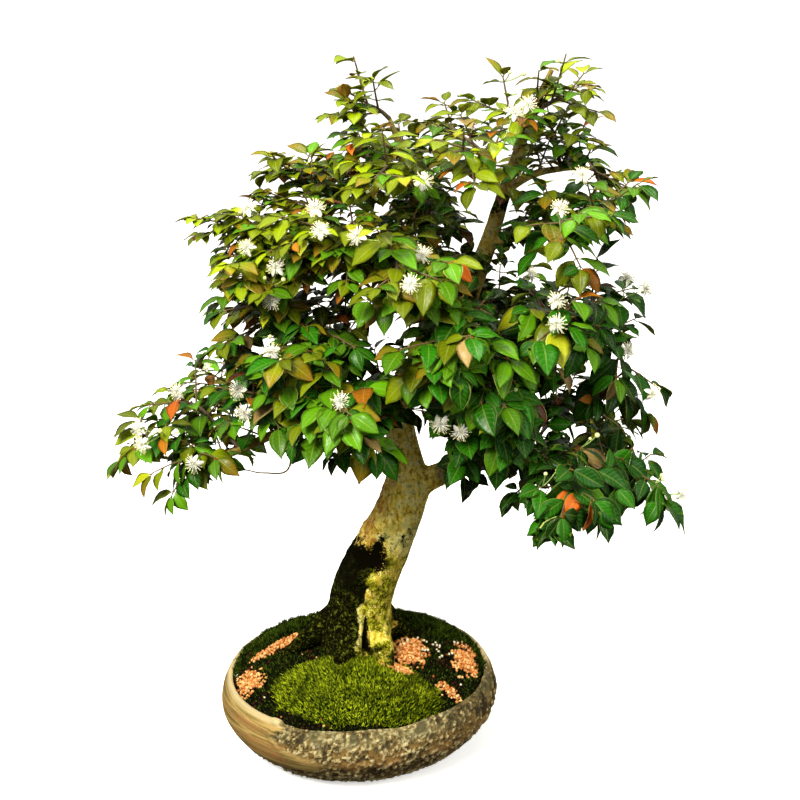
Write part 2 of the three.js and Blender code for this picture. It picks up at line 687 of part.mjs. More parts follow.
function growSpray(row, index) {
  const [limb, share, x, y, z, leafLength, droop] = row;
  const draw = seededDraws(GROWTH_SEED + 97 * index);
  const base = pointOnLimb(limb, share);
  const stem = stemPath(base, vector(x, y, z), droop, draw);
  const length = stem[0].distanceTo(stem[stem.length - 1]);
  const count = THREE.MathUtils.clamp(Math.round(length / SHOOT_SPACING), SHOOTS_LEAST, SHOOTS_MOST);
  const firstTurn = 2 * Math.PI * draw();
  const shoots = [];
  for (let k = 0; k < count; k++) {
    const t = BARE_SHARE + ((LAST_SHOOT_AT - BARE_SHARE) * (k + 0.5)) / count;
    const start = alongPath(stem, STEM_STEPS, t);
    const along = headingAt(stem, STEM_STEPS, t);
    const level = sideways(along);
    const over = along.clone().cross(level);
    const turn = firstTurn + k * SHOOT_TURN;
    const lateral = blend([level, Math.cos(turn)], [over, SHOOT_FLATNESS * Math.sin(turn)]).normalize();
    const angle = SHOOT_ANGLE + SHOOT_ANGLE_SPREAD * (draw() - 0.5);
    const direction = blend([along, Math.cos(angle)], [lateral, Math.sin(angle)]).normalize();
    const taper = SHOOT_REACH_AT_BASE - SHOOT_REACH_LOSS * t;
    const reach = SHOOT_REACH * (SHOOT_REACH_LEAST + SHOOT_REACH_SPREAD * draw()) * taper;
    const path = shootPath(start, direction, reach, droop);
    const slots = leavesAlong(path, SHOOT_STEPS, 0, reach, leafLength, droop, draw);
    shoots.push({ path, slots, main: MAIN_SHOOTS.includes(k) });
  }
  const leafy = length * (1 - STEM_LEAVES_FROM);
  const stemSlots = leavesAlong(stem, STEM_STEPS, STEM_LEAVES_FROM, leafy, leafLength, droop, draw);
  return { stem, shoots, stemSlots };
}

// Leafy twigs along a limb inside the crown. They are of one piece with the wood.
function growInnerTwigs(name, index) {
  const draw = seededDraws(INNER_SEED + 53 * index);
  const twigs = [];
  for (const share of name === "trunk" ? INNER_TRUNK_SHARES : INNER_SHARES) {
    for (let k = 0; k < INNER_TWIGS_AT_EACH; k++) {
      const base = pointOnLimb(name, Math.min(share + INNER_SHARE_SPREAD * (draw() - 0.5), 1));
      const wander = vector(draw() - 0.5, draw() - 0.5, draw() - 0.1).normalize();
      const outward = base.clone().sub(CROWN_MIDDLE).normalize();
      const direction = blend([outward, INNER_OUTWARD], [wander, 1]).normalize();
      const reach = INNER_REACH * (INNER_REACH_LEAST + INNER_REACH_SPREAD * draw());
      const sag = INNER_SAG * reach;
      const path = SHOOT_STEPS.map((t) => blend([base, 1], [direction, reach * t], [UP, -sag * t * t]));
      twigs.push({ path, slots: leavesAlong(path, SHOOT_STEPS, 0, reach, INNER_LEAF, INNER_DROOP, draw) });
    }
  }
  return twigs;
}

// Leaf blade: flat below each half, folded upwards along the rib, thickest over the rib.
function leafSolid({ node, direction, face, size }) {
  const across = face.clone().cross(direction);
  const place = (along, out, lift) => blend([node, 1], [direction, along], [across, out], [face, lift]);
  const bend = (share) => -LEAF_ARCH * size * share * share;
  const wide = LEAF_HALF_WIDTH * size;
  const narrow = wide * LEAF_NARROW_SHARE;
  const wideAt = LEAF_WIDE_AT * size;
  const narrowAt = LEAF_NARROW_AT * size;
  const wideLift = bend(LEAF_WIDE_AT) + LEAF_FOLD * wide;
  const narrowLift = bend(LEAF_NARROW_AT) + LEAF_FOLD * narrow;
  const points = [
    node,
    place(wideAt, wide, wideLift),
    place(narrowAt, narrow, narrowLift),
    place(size, 0, bend(1)),
    place(narrowAt, -narrow, narrowLift),
    place(wideAt, -wide, wideLift),
    place(LEAF_RIB_AT * size, 0, LEAF_RIB_AT * bend(1) + LEAF_RIB_THICKNESS),
  ];
  const triangles = [[3, 2, 1], [3, 1, 0], [3, 0, 5], [3, 5, 4]];
  for (let k = 0; k < 6; k++) {
    triangles.push([k, (k + 1) % 6, 6]);
  }
  return solidOf(points, triangles);
}

// Flower: four petals bent back, and a star of stamens that stands out between them

function flowerSolid(centre, axis, turn) {
  const level = sideways(axis);
  const over = axis.clone().cross(level);
  const corners = 8;
  const ringPoint = (k, reach, rise) => {
    const angle = turn + (2 * Math.PI * k) / corners;
    const out = blend([level, reach * Math.cos(angle)], [over, reach * Math.sin(angle)]);
    return blend([centre, 1], [out, 1], [axis, rise]);
  };
  const petalRing = [];
  const stamenRing = [];
  for (let k = 0; k < corners; k++) {
    if (k % 2 === 0) {
      petalRing.push(ringPoint(k, BLOOM_PETAL_REACH, -BLOOM_PETAL_BACK));
      stamenRing.push(ringPoint(k, BLOOM_HEART_REACH, BLOOM_HEART_RISE / 2));
    } else {
      petalRing.push(ringPoint(k, BLOOM_NOTCH_REACH, -BLOOM_PETAL_BACK / 2));
      stamenRing.push(ringPoint(k, BLOOM_STAMEN_REACH, BLOOM_STAMEN_RISE));
    }
  }
  const back = [ringPoint(0, 0, -BLOOM_PETAL_BACK)];
  const heart = [ringPoint(0, 0, BLOOM_HEART_RISE)];
  return loft([back, petalRing, stamenRing, heart]);
}

// The nearest place on any grown stem or shoot to a point.
function nearestTwig(point, sprays) {
  let best = { distance: Infinity };
  sprays.forEach((spray, owner) => {
    const places = STEM_FLOWERS_AT.map((share) => alongPath(spray.stem, STEM_STEPS, share));
    for (const shoot of spray.shoots.filter((one) => one.main)) {
      places.push(...SHOOT_FLOWERS_AT.map((share) => alongPath(shoot.path, SHOOT_STEPS, share)));
    }
    for (const place of places) {
      const distance = place.distanceTo(point);
      if (distance < best.distance) {
        best = { distance, owner, place };
      }
    }
  });
  return best;
}

// A bunch: its flowers fan out round the way from the twig to the wanted place.
function bloomPlaces(row, index, sprays) {
  const [x, y, z, count, own] = row;
  const target = vector(x, y, z);
  const { owner, place } = nearestTwig(target, sprays);
  const draw = seededDraws(BLOOM_SEED + 13 * index);
  const reach = target.clone().sub(place);
  const length = THREE.MathUtils.clamp(reach.length(), PEDICEL_SHORTEST, PEDICEL_LONGEST);
  const outward = target.clone().sub(CROWN_MIDDLE).normalize();
  const heading = blend([reach.normalize(), 1], [outward, HEADING_OUTWARD]).normalize();
  const centre = place.clone().addScaledVector(heading, length);
  const level = sideways(heading);
  const over = heading.clone().cross(level);
  const firstTurn = 2 * Math.PI * draw();
  const flowers = [];
  for (let k = 0; k < count; k++) {
    const turn = firstTurn + (2 * Math.PI * k) / count;
    const spread = count > 1 ? BLOOM_SPREAD : 0;
    const middle = blend([centre, 1], [level, spread * Math.cos(turn)], [over, spread * Math.sin(turn)]);
    const along = middle.clone().sub(place).normalize();
    const axis = blend([along, AXIS_ALONG], [outward, AXIS_OUTWARD], [UP, AXIS_UP]).normalize();
    flowers.push({ middle, axis, turn: Math.PI * draw() });
  }
  const fork = place.clone().addScaledVector(heading, FORK_AT);
  return { owner, place, fork, flowers, own };
}

// A thin stalk that starts as a point inside what it grows from.
function stalkSolid(from, to) {
  const radii = [PEDICEL_RADIUS, PEDICEL_RADIUS, PEDICEL_RADIUS];
  return tube([from, from.clone().lerp(to, STALK_POINT_SHARE), to], radii, 3, 0, true);
}

function bunchSolid({ place, fork, flowers }) {
  const pieces = flowers.map(({ middle, axis, turn }) => flowerSolid(middle, axis, turn));
  if (flowers.length === 1) {
    pieces.push(stalkSolid(place, flowers[0].middle));
  } else {
    pieces.push(stalkSolid(place, fork));
    const root = place.clone().lerp(fork, STALKS_PART_AT);
    pieces.push(...flowers.map(({ middle }) => stalkSolid(root, middle)));
  }
  return wasm.Manifold.union(pieces);
}

// Clearance between solids

function boxesMeet(a, b, margin) {
  return [0, 1, 2].every((i) => a.min[i] - margin < b.max[i] && b.min[i] - margin < a.max[i]);
}

function clearOf(solid, others, gap) {
  const box = solid.boundingBox();
  const near = others.filter((other) => boxesMeet(box, other.box, gap));
  return near.every((other) => solid.minGap(other.solid, gap * 2) >= gap);
}

function entryOf(solid, owner) {
  return { solid, box: solid.boundingBox(), owner };
}

// Sprays are numbered from 0. The wood and the separate flowers belong to none of them.
const WOOD_OWNER = -1;
const BLOOM_OWNER = -2;

// The leafy crown: stems and shoots first, then flowers, then the leaves that stay clear

// The stem from a share of its path to its tip.
function stemSolid(path, from, grown) {
  const shares = [from, ...STEM_STEPS.filter((t) => t > from + 0.02)];
  const points = shares.map((t) => alongPath(path, STEM_STEPS, t));
  const radii = shares.map((t) => THREE.MathUtils.lerp(STEM_BASE_RADIUS, STEM_TIP_RADIUS, t));
  return tube(points, radii, 3, grown);
}

// The share of its path at which a stem leaves the wood, found by halving.
function stemStart(path, woodEntry) {
  let inside = 0;
  let outside = 0.5;
  const halvings = 9;
  for (let k = 0; k < halvings; k++) {
    const middle = (inside + outside) / 2;
    if (clearOf(stemSolid(path, middle), [woodEntry], SEAT_GAP)) {
      outside = middle;
    } else {
      inside = middle;
    }
  }
  return outside;
}

function shootSolid(path, grown) {
  const radii = SHOOT_STEPS.map((t) => THREE.MathUtils.lerp(SHOOT_BASE_RADIUS, SHOOT_TIP_RADIUS, t));
  return tube(path, radii, 3, grown, true);
}

function nearFlower(slot, bunches) {
  const middle = slot.node.clone().addScaledVector(slot.direction, slot.size * 0.5);
  return bunches.some((bunch) =>
    bunch.flowers.some((flower) => {
      const shade = flower.middle.clone().addScaledVector(flower.axis, BLOOM_CLEARANCE * 0.6);
      return middle.distanceTo(flower.middle) < BLOOM_CLEARANCE || middle.distanceTo(shade) < BLOOM_CLEARANCE;
    }),
  );
}

// Leaf slots in the order in which they are tried: the furthest tips come first.
function slotsInOrder(spray) {
  const lists = [spray.stemSlots, ...spray.shoots.filter((shoot) => shoot.kept).map((shoot) => shoot.slots)];
  const all = lists.flat();
  return [
    ...all.filter((slot) => slot.terminal),
    ...all.filter((slot) => slot.middle),
    ...all.filter((slot) => !slot.terminal && !slot.middle),
  ];
}

function growCrown(wood) {
  const sprays = SPRAYS.map((row, index) => growSpray(row, index));
  const taken = [entryOf(wood, WOOD_OWNER)];
  const others = (owner) => taken.filter((entry) => entry.owner !== owner);
  sprays.forEach((spray, owner) => {
    const start = stemStart(spray.stem, taken[0]);
    spray.solids = [stemSolid(spray.stem, start)];
    spray.grown = [stemSolid(spray.stem, start, SEAT_GAP)];
    taken.push(entryOf(spray.solids[0], owner));
  });
  sprays.forEach((spray, owner) => {
    for (const shoot of spray.shoots) {
      const solid = shootSolid(shoot.path);
      shoot.kept = shoot.main && clearOf(solid, others(owner), SEAT_GAP);
      if (shoot.kept) {
        spray.solids.push(solid);
        spray.grown.push(shootSolid(shoot.path, SEAT_GAP));
        taken.push(entryOf(solid, owner));
      }
    }
  });
  const bunches = BLOOMS.map((row, index) => bloomPlaces(row, index, sprays));
  bunches.forEach((bunch) => {
    bunch.solid = bunchSolid(bunch);
    bunch.clear = clearOf(bunch.solid, others(bunch.owner), SEAT_GAP);
    if (bunch.clear) {
      taken.push(entryOf(bunch.solid, bunch.own ? BLOOM_OWNER : bunch.owner));
    }
  });
  sprays.forEach((spray, owner) => {
    const siblings = [];
    for (const slot of slotsInOrder(spray)) {
      if (siblings.length === LEAVES_PER_SPRAY) {
        break;
      }
      if (nearFlower(slot, bunches)) {
        continue;
      }
      const solid = leafSolid(slot);
      const free = clearOf(solid, others(owner), SEAT_GAP) && clearOf(solid, siblings, LEAF_CLEARANCE);
      if (free) {
        siblings.push(entryOf(solid, owner));
        taken.push(entryOf(solid, owner));
        spray.solids.push(solid);
      }
    }
  });
  const inner = [];
  Object.keys(WOOD).forEach((name, index) => {
    for (const [k, twig] of growInnerTwigs(name, index).entries()) {
      const [from, , , to] = twig.path;
      const solid = tube([from, to], [0, SHOOT_BASE_RADIUS], 3, 0, true);
      if (k % INNER_KEPT_EACH > 0 || !clearOf(solid, others(WOOD_OWNER), SEAT_GAP)) {
        continue;
      }
      const free = slotsInOrder({ stemSlots: twig.slots, shoots: [] })
        .filter((slot) => !nearFlower(slot, bunches))
        .map((slot) => leafSolid(slot))
        .filter((leaf) => clearOf(leaf, others(WOOD_OWNER), SEAT_GAP));
      inner.push(solid, ...free.slice(0, INNER_LEAVES_KEPT));
    }
  });
  return { sprays, bunches, inner };
}

// Ground cover

// A low pad on the dome: its outline is an oval with a seeded wave, its top is crowned and bumpy.
function padBody([x, y, halfLength, halfWidth, degrees, thickness], sectors, seed, bump) {
  const draw = seededDraws(seed);
  const turn = THREE.MathUtils.degToRad(degrees);
  const waves = Array.from({ length: sectors }, () => 1 + 2 * PAD_WAVE * (draw() - 0.5));
  const ringAt = (share, lift) =>
    waves.map((wave, k) => {
      const angle = (2 * Math.PI * k) / sectors;
      const along = halfLength * share * wave * Math.cos(angle);
      const out = halfWidth * share * wave * Math.sin(angle);
      const px = x + along * Math.cos(turn) - out * Math.sin(turn);
      const py = y + along * Math.sin(turn) + out * Math.cos(turn);
      const uneven = lift > 0 ? bump * (draw() - 0.5) : 0;
      return vector(px, py, soilHeight(px, py) + lift + uneven);
    });
  const below = -PAD_ROOT;
  const rings = [[vector(x, y, soilHeight(x, y) + thickness)]];
  for (const [share, lift] of [PAD_SHOULDER, PAD_EDGE]) {
    rings.push(ringAt(share, thickness * lift));
  }
  rings.push(ringAt(PAD_UNDERCUT, below));
  rings.push([vector(x, y, soilHeight(x, y) + below)]);
  return loft(rings);
}

function mossSolid(row, seed, soilRaised, woodGrown) {
  const body = padBody(row, MOSS_SECTORS, seed, MOSS_BUMP);
  return largestBody(body.subtract(soilRaised).subtract(woodGrown));
}

// Granules: a thin bed, with grains standing half out of it.
function grainSolid(row, seed, soilRaised, woodGrown) {
  const [x, y, halfLength, halfWidth, degrees, thickness] = row;
  const draw = seededDraws(seed + GRAIN_STONE_SEED);
  const turn = THREE.MathUtils.degToRad(degrees);
  const pieces = [padBody(row, GRAIN_SECTORS, seed, GRAIN_BUMP)];
  for (let k = 0; k < GRAINS_PER_PAD; k++) {
    const angle = k * SHOOT_TURN;
    const share = GRAIN_SPREAD * Math.sqrt((k + 0.5) / GRAINS_PER_PAD);
    const along = halfLength * share * Math.cos(angle);
    const out = halfWidth * share * Math.sin(angle);
    const px = x + along * Math.cos(turn) - out * Math.sin(turn);
    const py = y + along * Math.sin(turn) + out * Math.cos(turn);
    const grain = new THREE.OctahedronGeometry(GRAIN_RADIUS * (0.85 + 0.3 * draw()));
    grain.rotateX(3 * draw());
    grain.rotateZ(3 * draw());
    grain.translate(px, py, soilHeight(px, py) + thickness * GRAIN_PROUD);
    pieces.push(solidFrom(grain));
  }
  return largestBody(wasm.Manifold.union(pieces).subtract(soilRaised).subtract(woodGrown));
}

// Assembly

const group = new THREE.Group();
group.name = "surinam_cherry_bonsai";

const potGroup = new THREE.Group();
potGroup.add(meshOf("pot", potSolid(), MATERIALS.clay));
DRAIN_HOLES.forEach(([x, y], index) => {
  potGroup.add(meshOf(`drain_screen_${index + 1}`, screenSolid(x, y), MATERIALS.screen));
});
group.add(potGroup);

const wood = woodSolid(0);
const woodGrown = woodSolid(SEAT_GAP);
const treeGroup = new THREE.Group();

let soil = soilBody(0).subtract(woodGrown);
for (const [x, y] of DRAIN_HOLES) {
  const width = SCREEN_SIDE + 1;
  soil = soil.subtract(boxSolid(width, width, 0, POT_FLOOR + SCREEN_THICKNESS + 2 * SEAT_GAP, x, y));
}
const groundGroup = new THREE.Group();
groundGroup.add(meshOf("soil", largestBody(soil), MATERIALS.soil));

const soilRaised = soilBody(SEAT_GAP);
Object.entries(MOSS_PADS).forEach(([name, row], index) => {
  const look = name === "moss_cushion" ? MATERIALS.moss : MATERIALS.darkMoss;
  groundGroup.add(meshOf(name, mossSolid(row, MOSS_SEED + index, soilRaised, woodGrown), look));
});
Object.entries(GRAIN_PADS).forEach(([name, row], index) => {
  groundGroup.add(meshOf(name, grainSolid(row, GRAIN_SEED + index, soilRaised, woodGrown), MATERIALS.grain));
});
group.add(groundGroup);

const { sprays, bunches, inner } = growCrown(wood);
const wholeWood = largestBody(wasm.Manifold.union([wood, ...inner]));
treeGroup.add(meshOf("tree_wood", wholeWood, MATERIALS.bark));
const blooms = bunches.filter((bunch) => bunch.own && bunch.clear);
blooms.forEach((bunch, index) => {
  const twigs = wasm.Manifold.union(sprays[bunch.owner].grown);
  const solid = largestBody(bunch.solid.subtract(twigs).subtract(woodGrown));
  treeGroup.add(meshOf(`bloom_${index + 1}`, solid, MATERIALS.petal));
});
sprays.forEach((spray, owner) => {
  const fused = bunches.filter((bunch) => !bunch.own && bunch.clear && bunch.owner === owner);
  const pieces = [...spray.solids, ...fused.map((bunch) => bunch.solid)];
  const solid = largestBody(wasm.Manifold.union(pieces));
  const number = String(owner + 1).padStart(2, "0");
  treeGroup.add(meshOf(`spray_${number}`, solid, MATERIALS.leaf));
});
group.add(treeGroup);

export default group;
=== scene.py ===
# Surinam cherry bonsai in a round handmade pot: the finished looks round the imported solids.
# The tables are in millimetres, as the solids are. A mesh is scaled to metres where it is made.

import math
import random

import bmesh
import bpy
import numpy as np
from mathutils import Matrix, Vector, noise


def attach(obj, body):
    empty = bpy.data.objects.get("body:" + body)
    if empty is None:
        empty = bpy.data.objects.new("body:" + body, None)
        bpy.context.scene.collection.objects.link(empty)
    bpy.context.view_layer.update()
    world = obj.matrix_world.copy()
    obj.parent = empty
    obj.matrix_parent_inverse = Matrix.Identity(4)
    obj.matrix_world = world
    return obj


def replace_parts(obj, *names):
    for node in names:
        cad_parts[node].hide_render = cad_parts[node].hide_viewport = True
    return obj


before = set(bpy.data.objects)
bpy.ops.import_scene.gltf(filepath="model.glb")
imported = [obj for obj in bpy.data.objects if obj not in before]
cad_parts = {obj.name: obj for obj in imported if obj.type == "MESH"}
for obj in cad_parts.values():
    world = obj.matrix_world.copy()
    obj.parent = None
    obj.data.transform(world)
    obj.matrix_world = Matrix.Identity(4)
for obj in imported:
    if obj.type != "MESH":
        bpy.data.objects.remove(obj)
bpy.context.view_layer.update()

MM = 0.001

# Pot: an incurved bowl. The profiles are [radius, height] pairs.
POT_OUTER = [[82, 0], [94.5, 4], [109, 17], [118.5, 30], [122.3, 42], [120.5, 54], [117, 62]]
POT_RIM = [[114.5, 65], [111.5, 63.5]]
POT_INNER = [[113, 54], [114.5, 42], [111, 29], [102, 17], [88, 9]]
POT_FLOOR = 9
POT_TOP = 65
POT_SIDES = 430
FOOT_RINGS = (30, 60, 80)
CURVE_STEPS = 7
RIM_ZONE_FROM = 50
RIM_CHIP_DEPTH = 2.6
# The wall's waves: [reach, waves round the pot, phase], and the same for the chips in the rim.
WALL_WAVES = [(0.8, 2, 0.6), (0.5, 3, 2)]
CHIP_WAVES = [(0.3, 9, 0), (0.2, 15, 1)]
CHIP_SHARE = 0.75
ROUGH_FROM = math.radians(-123)
ROUGH_TO = math.radians(2)
ROUGH_BORDER = 0.16
# Heights on the wall between which a kind of clay fades in.
BELLY_TOP = (48, 34)
BELLY_BOTTOM = (16, 26)
LEDGE_BAND = (38, 46)
RIM_BAND = (44, 56)
DRAIN_HOLES = [(-50, 8), (50, -8)]
DRAIN_RADIUS = 11
DRAIN_SIDES = 40
NUGGET_SPACING = 3.9
CRUMB_SPACING = 0.45 * NUGGET_SPACING

# Soil: a dome that rises from the rim to the foot of the trunk. Its edge is low in front, high behind.
SOIL_EDGE_HEIGHT = 60.5
SOIL_EDGE_TILT = 3.5
SOIL_DOME_RISE = 27.5
SOIL_RADIUS = 111.2
SOIL_SIDES = 150
SOIL_RINGS = 46
SOIL_LUMP = 1.1
# The soil's side, inside the pot: [radius, height].
SOIL_WALL = [(88, 9.5), (102, 17.5), (111, 29.5), (114, 42.5), (112.8, 54)]

# Wood: [x, y, z, radius] along each axis. Every limb starts inside its parent.
WOOD = {
    "trunk": [
        [0, 0, 64, 29], [0, 0, 86, 32], [1, 0, 102, 31], [3, 0, 119, 29], [6, 0, 136, 27], [12, 0, 152, 25.8],
        [23, 0, 177, 24.4], [36, 0, 204, 22.2], [43, 0, 220, 20.8], [48, 0, 237, 19.6], [48, 1, 253, 16.2],
        [46, 2, 269, 13.8], [43, 4, 290, 12.6], [42, 6, 312, 12.6], [57, 8, 336, 12], [79, 8, 356, 11.4],
        [93, 8, 378, 10.4], [105, 6, 407, 9], [120, 4, 446, 7.2], [134, 2, 490, 5.6], [154, 0, 547, 3.6],
        [171, -2, 586, 2],
    ],
    "lowRight": [
        [54, -2, 236, 12], [72, -5, 246, 10.5], [100, -14, 262, 8], [135, -24, 272, 6.3],
        [176, -32, 272, 4.8], [217, -38, 262, 3.4], [246, -44, 248, 2],
    ],
    "lowRightFront": [[135, -24, 272, 4.5], [150, -52, 276, 3.8], [162, -84, 272, 3], [170, -108, 262, 1.8]],
    "lowRightBack": [[135, -24, 272, 4.5], [156, 6, 282, 3.8], [178, 40, 286, 3], [196, 68, 280, 1.8]],
    "midRight": [
        [76, 6, 354, 6.5], [104, 0, 358, 5.5], [144, -15, 364, 4.4], [185, -25, 367, 3.2],
        [222, -30, 369, 1.8],
    ],
    "highRight": [[120, 4, 446, 4.5], [150, -4, 454, 3.8], [182, -10, 457, 2.8], [210, -16, 470, 1.6]],
    "topRight": [[134, 2, 490, 4], [158, 16, 500, 3.3], [186, 28, 502, 2.4], [208, 34, 500, 1.5]],
    "leftLeader": [
        [57, 8, 336, 9], [66, 12, 362, 8], [72, 18, 396, 7], [74, 20, 421, 6.4], [69, 20, 455, 5.4],
        [59, 16, 490, 4.4], [50, 10, 524, 3.2], [42, 6, 550, 1.8],
    ],
    "highLeft": [
        [73, 19, 416, 5.5], [53, 2, 422, 4.8], [34, -10, 422, 4.3], [6, -20, 433, 3.6], [-25, -24, 451, 3],
        [-56, -24, 466, 2.3], [-80, -22, 476, 1.5],
    ],
    "midLeft": [
        [72, 17, 394, 5], [46, -4, 396, 4.4], [21, -14, 395, 3.9], [-11, -24, 392, 3.2], [-44, -30, 391, 2.5],
        [-70, -32, 392, 1.5],
    ],
    "lowLeft": [
        [43, 3, 288, 7], [22, -4, 296, 6], [0, -8, 302, 5.2], [-35, -14, 301, 4.6], [-67, -18, 291, 3.9],
        [-99, -20, 278, 3.2], [-134, -22, 273, 2.4], [-156, -24, 277, 1.5],
    ],
    "lowLeftBack": [[-35, -14, 301, 3.8], [-58, 16, 306, 3.2], [-84, 50, 308, 2.5], [-110, 80, 302, 1.5]],
    "lowFront": [[43, 4, 300, 6], [34, -28, 316, 4.8], [22, -64, 330, 3.6], [10, -98, 336, 2]],
    "midFront": [[79, 6, 352, 5.5], [86, -30, 372, 4.5], [88, -68, 386, 3.4], [84, -102, 394, 1.9]],
    "highFront": [[73, 18, 424, 5], [64, -20, 442, 4.2], [54, -58, 456, 3.2], [46, -94, 464, 1.8]],
    "lowBack": [[42, 8, 306, 6], [26, 42, 322, 4.8], [4, 80, 332, 3.5], [-20, 114, 330, 2]],
    "midBack": [[79, 10, 354, 6], [102, 46, 370, 4.8], [124, 84, 376, 3.5], [142, 116, 374, 2]],
    "highBack": [[74, 22, 425, 5], [76, 58, 446, 4.2], [74, 94, 460, 3.1], [70, 124, 462, 1.8]],
}
ROOTS = [
    [[-8, 2, 120, 15], [-28, 3, 104, 12], [-48, 0, 90, 8], [-66, -5, 78, 4]],
    [[14, -12, 112, 13], [22, -24, 98, 10.5], [26, -38, 88, 7], [30, -52, 76, 4]],
    [[-6, -12, 110, 14], [-9, -24, 98, 12], [-14, -40, 88, 7], [-20, -54, 76, 4]],
    [[18, 8, 114, 14], [34, 14, 97, 10], [48, 19, 84, 6], [60, 23, 72, 3.5]],
    [[0, 14, 112, 14], [-4, 30, 99, 11], [-8, 48, 88, 6], [-11, 62, 76, 3.5]],
]
THICK_LIMB = 3.0
TRUNK_SIDES = 44
ROOT_SIDES = 24
THICK_LIMB_SIDES = 20
TOP_SIDES = 12
LIMB_SIDES = 10
LIMB_SET_IN = 0.1
BARE_TOP_FROM = 60
BARK_VOXEL = 1.75
# Vector noise, which moves the marks on the bark about, follows the clock unless it has a seed.
BARK_SEED = 1795750490

# Marks on the front of the trunk. The scar and the lobe are [x, z, half-width, half-height].
SCAR = (12, 174, 14, 26)
SCAR_LEAN = 0.38
SCAR_DEPTH = 5.5
LOBE = (6, 160, 13, 8)
LOBE_LEAN = 0.5
SLIT_TOP = (9, 130)
SLIT_FOOT = (8, 100)
SLIT_DEPTH = 7
LICHEN_SPOT = (-19, 143)
KNOT = (46, -21, 194)
KNOT_RADIUS = 6
# Heights between which a kind of bark fades in, from the first to the second.
MOSS_BAND = (212, 165)
ROOT_MOSS_BAND = (112, 92)
LICHEN_BAND = (216, 190)
RED_EDGE_BOTTOM = (176, 205)
RED_EDGE_TOP = (290, 250)
LIMB_BAND = (225, 245)
SMOOTH_TOP_BAND = (300, 345)
MOSS_HIGHEST = 235

# Leafy sprays: [limb, share of its length, tip x, y, z, leaf length, droop].
# Droop runs from 0, leaves held level, to about 1, leaves hanging.
SPRAYS = [
    ["lowLeft", 1, -170, -30, 293, 27, 0.7],
    ["lowLeft", 0.8, -128, -60, 287, 28, 0.8],
    ["lowLeft", 0.68, -150, 25, 310, 26, 0.5],
    ["lowLeft", 0.48, -74, -90, 349, 29, 0.45],
    ["lowLeftBack", 1, -134, 105, 282, 27, 0.6],
    ["midLeft", 1, -86, -38, 370, 26, 0.45],
    ["midLeft", 0.66, -44, -110, 365, 29, 0.6],
    ["midLeft", 0.74, -92, 50, 381, 26, 0.5],
    ["highLeft", 1, -83, -28, 472, 23, 0.3],
    ["highLeft", 0.72, -75, -88, 441, 26, 0.5],
    ["highLeft", 0.58, -40, 6, 517, 24, 0.2],
    ["highLeft", 0.42, -18, -115, 486, 27, 0.4],
    ["leftLeader", 1, 22, 0, 563, 24, 0.1],
    ["leftLeader", 0.85, 14, -30, 538, 24, 0.1],
    ["leftLeader", 0.7, 30, -100, 522, 27, 0.3],
    ["leftLeader", 0.76, -4, 95, 487, 26, 0.3],
    ["trunk", 0.955, 192, -4, 567, 25, 0.1],
    ["trunk", 0.94, 133, -34, 559, 25, 0.2],
    ["trunk", 0.9, 90, -90, 538, 27, 0.35],
    ["trunk", 0.9, 85, 90, 533, 26, 0.3],
    ["topRight", 1, 216, 44, 488, 26, 0.3],
    ["topRight", 0.62, 172, 20, 539, 25, 0.2],
    ["highRight", 0.95, 202, -30, 477, 28, 0.4],
    ["highRight", 0.55, 168, -105, 472, 30, 0.5],
    ["midRight", 1, 226, -50, 329, 30, 0.8],
    ["midRight", 0.82, 208, -6, 405, 28, 0.3],
    ["midRight", 0.55, 172, -120, 410, 32, 0.6],
    ["midRight", 0.64, 201, 85, 363, 30, 0.5],
    ["lowRight", 1, 234, -68, 266, 31, 0.95],
    ["lowRight", 0.42, 111, -95, 324, 33, 0.6],
    ["lowRightFront", 1, 175, -130, 282, 34, 0.95],
    ["lowRightFront", 0.5, 209, -95, 279, 34, 0.95],
    ["lowRightBack", 1, 239, 88, 250, 30, 0.8],
    ["lowFront", 1, -12, -140, 358, 33, 0.6],
    ["midFront", 1, 75, -145, 401, 33, 0.6],
    ["midFront", 0.5, 120, -125, 349, 34, 0.75],
    ["highFront", 1, 46, -143, 453, 30, 0.5],
    ["lowBack", 1, -48, 145, 317, 29, 0.6],
    ["midBack", 1, 157, 145, 360, 30, 0.6],
    ["highBack", 1, 63, 150, 450, 28, 0.4],
]
GROWTH_SEED = 4100
STEM_RISE = 0.1
STEM_WIGGLE = 0.05
STEM_RADII = (1.9, 1.0)
STEM_STEPS = (0, 0.33, 0.67, 1)
STEM_SIDES = 7
SHOOT_RADII = (1.1, 0.55)
SHOOT_STEPS = (0, 0.12, 0.56, 1)
SHOOT_SPACING = 11
SHOOTS_LEAST = 5
SHOOTS_MOST = 8
MAIN_SHOOTS = (1, 4)
SHOOT_REACH = 42
SHOOT_TURN = math.radians(137.5)
SHOOT_FLATNESS = 0.6
SHOOT_ANGLE = 0.95
SHOOT_SIDES = 4
BARE_SHARE = 0.22
LAST_SHOOT_AT = 0.92
FIRST_LEAF_AT = 12
LEAF_SPACING_SHARE = 0.47
CROWN_MIDDLE = np.array([60.0, 10.0, 370.0])
CROWN_HALF_SIZE = np.array([230.0, 160.0, 240.0])
# Painted shade: the share of its brightness that a leaf deep inside the crown keeps.
INSIDE_SHADE = 0.32
CROWN_LOWEST = np.array([-206.0, -178.0, 140.0])
CROWN_HIGHEST = np.array([288.0, 187.0, 607.0])
INNER_SEED = 8800
INNER_SHARES = (0.25, 0.42, 0.58, 0.72, 0.86)
TRUNK_INNER_SHARES = (0.66, 0.72, 0.78, 0.84, 0.9, 0.96)
INNER_TWIGS_AT_EACH = 2
INNER_REACH = 38
INNER_LEAF = 26
INNER_DROOP = 0.45
# How far a second twig of a full spray ends from the first: x, y, z.
SECOND_TWIG = (14, 12, -16)
SPRAY_SEED = 9000
INNER_LEAF_SEED = 9500
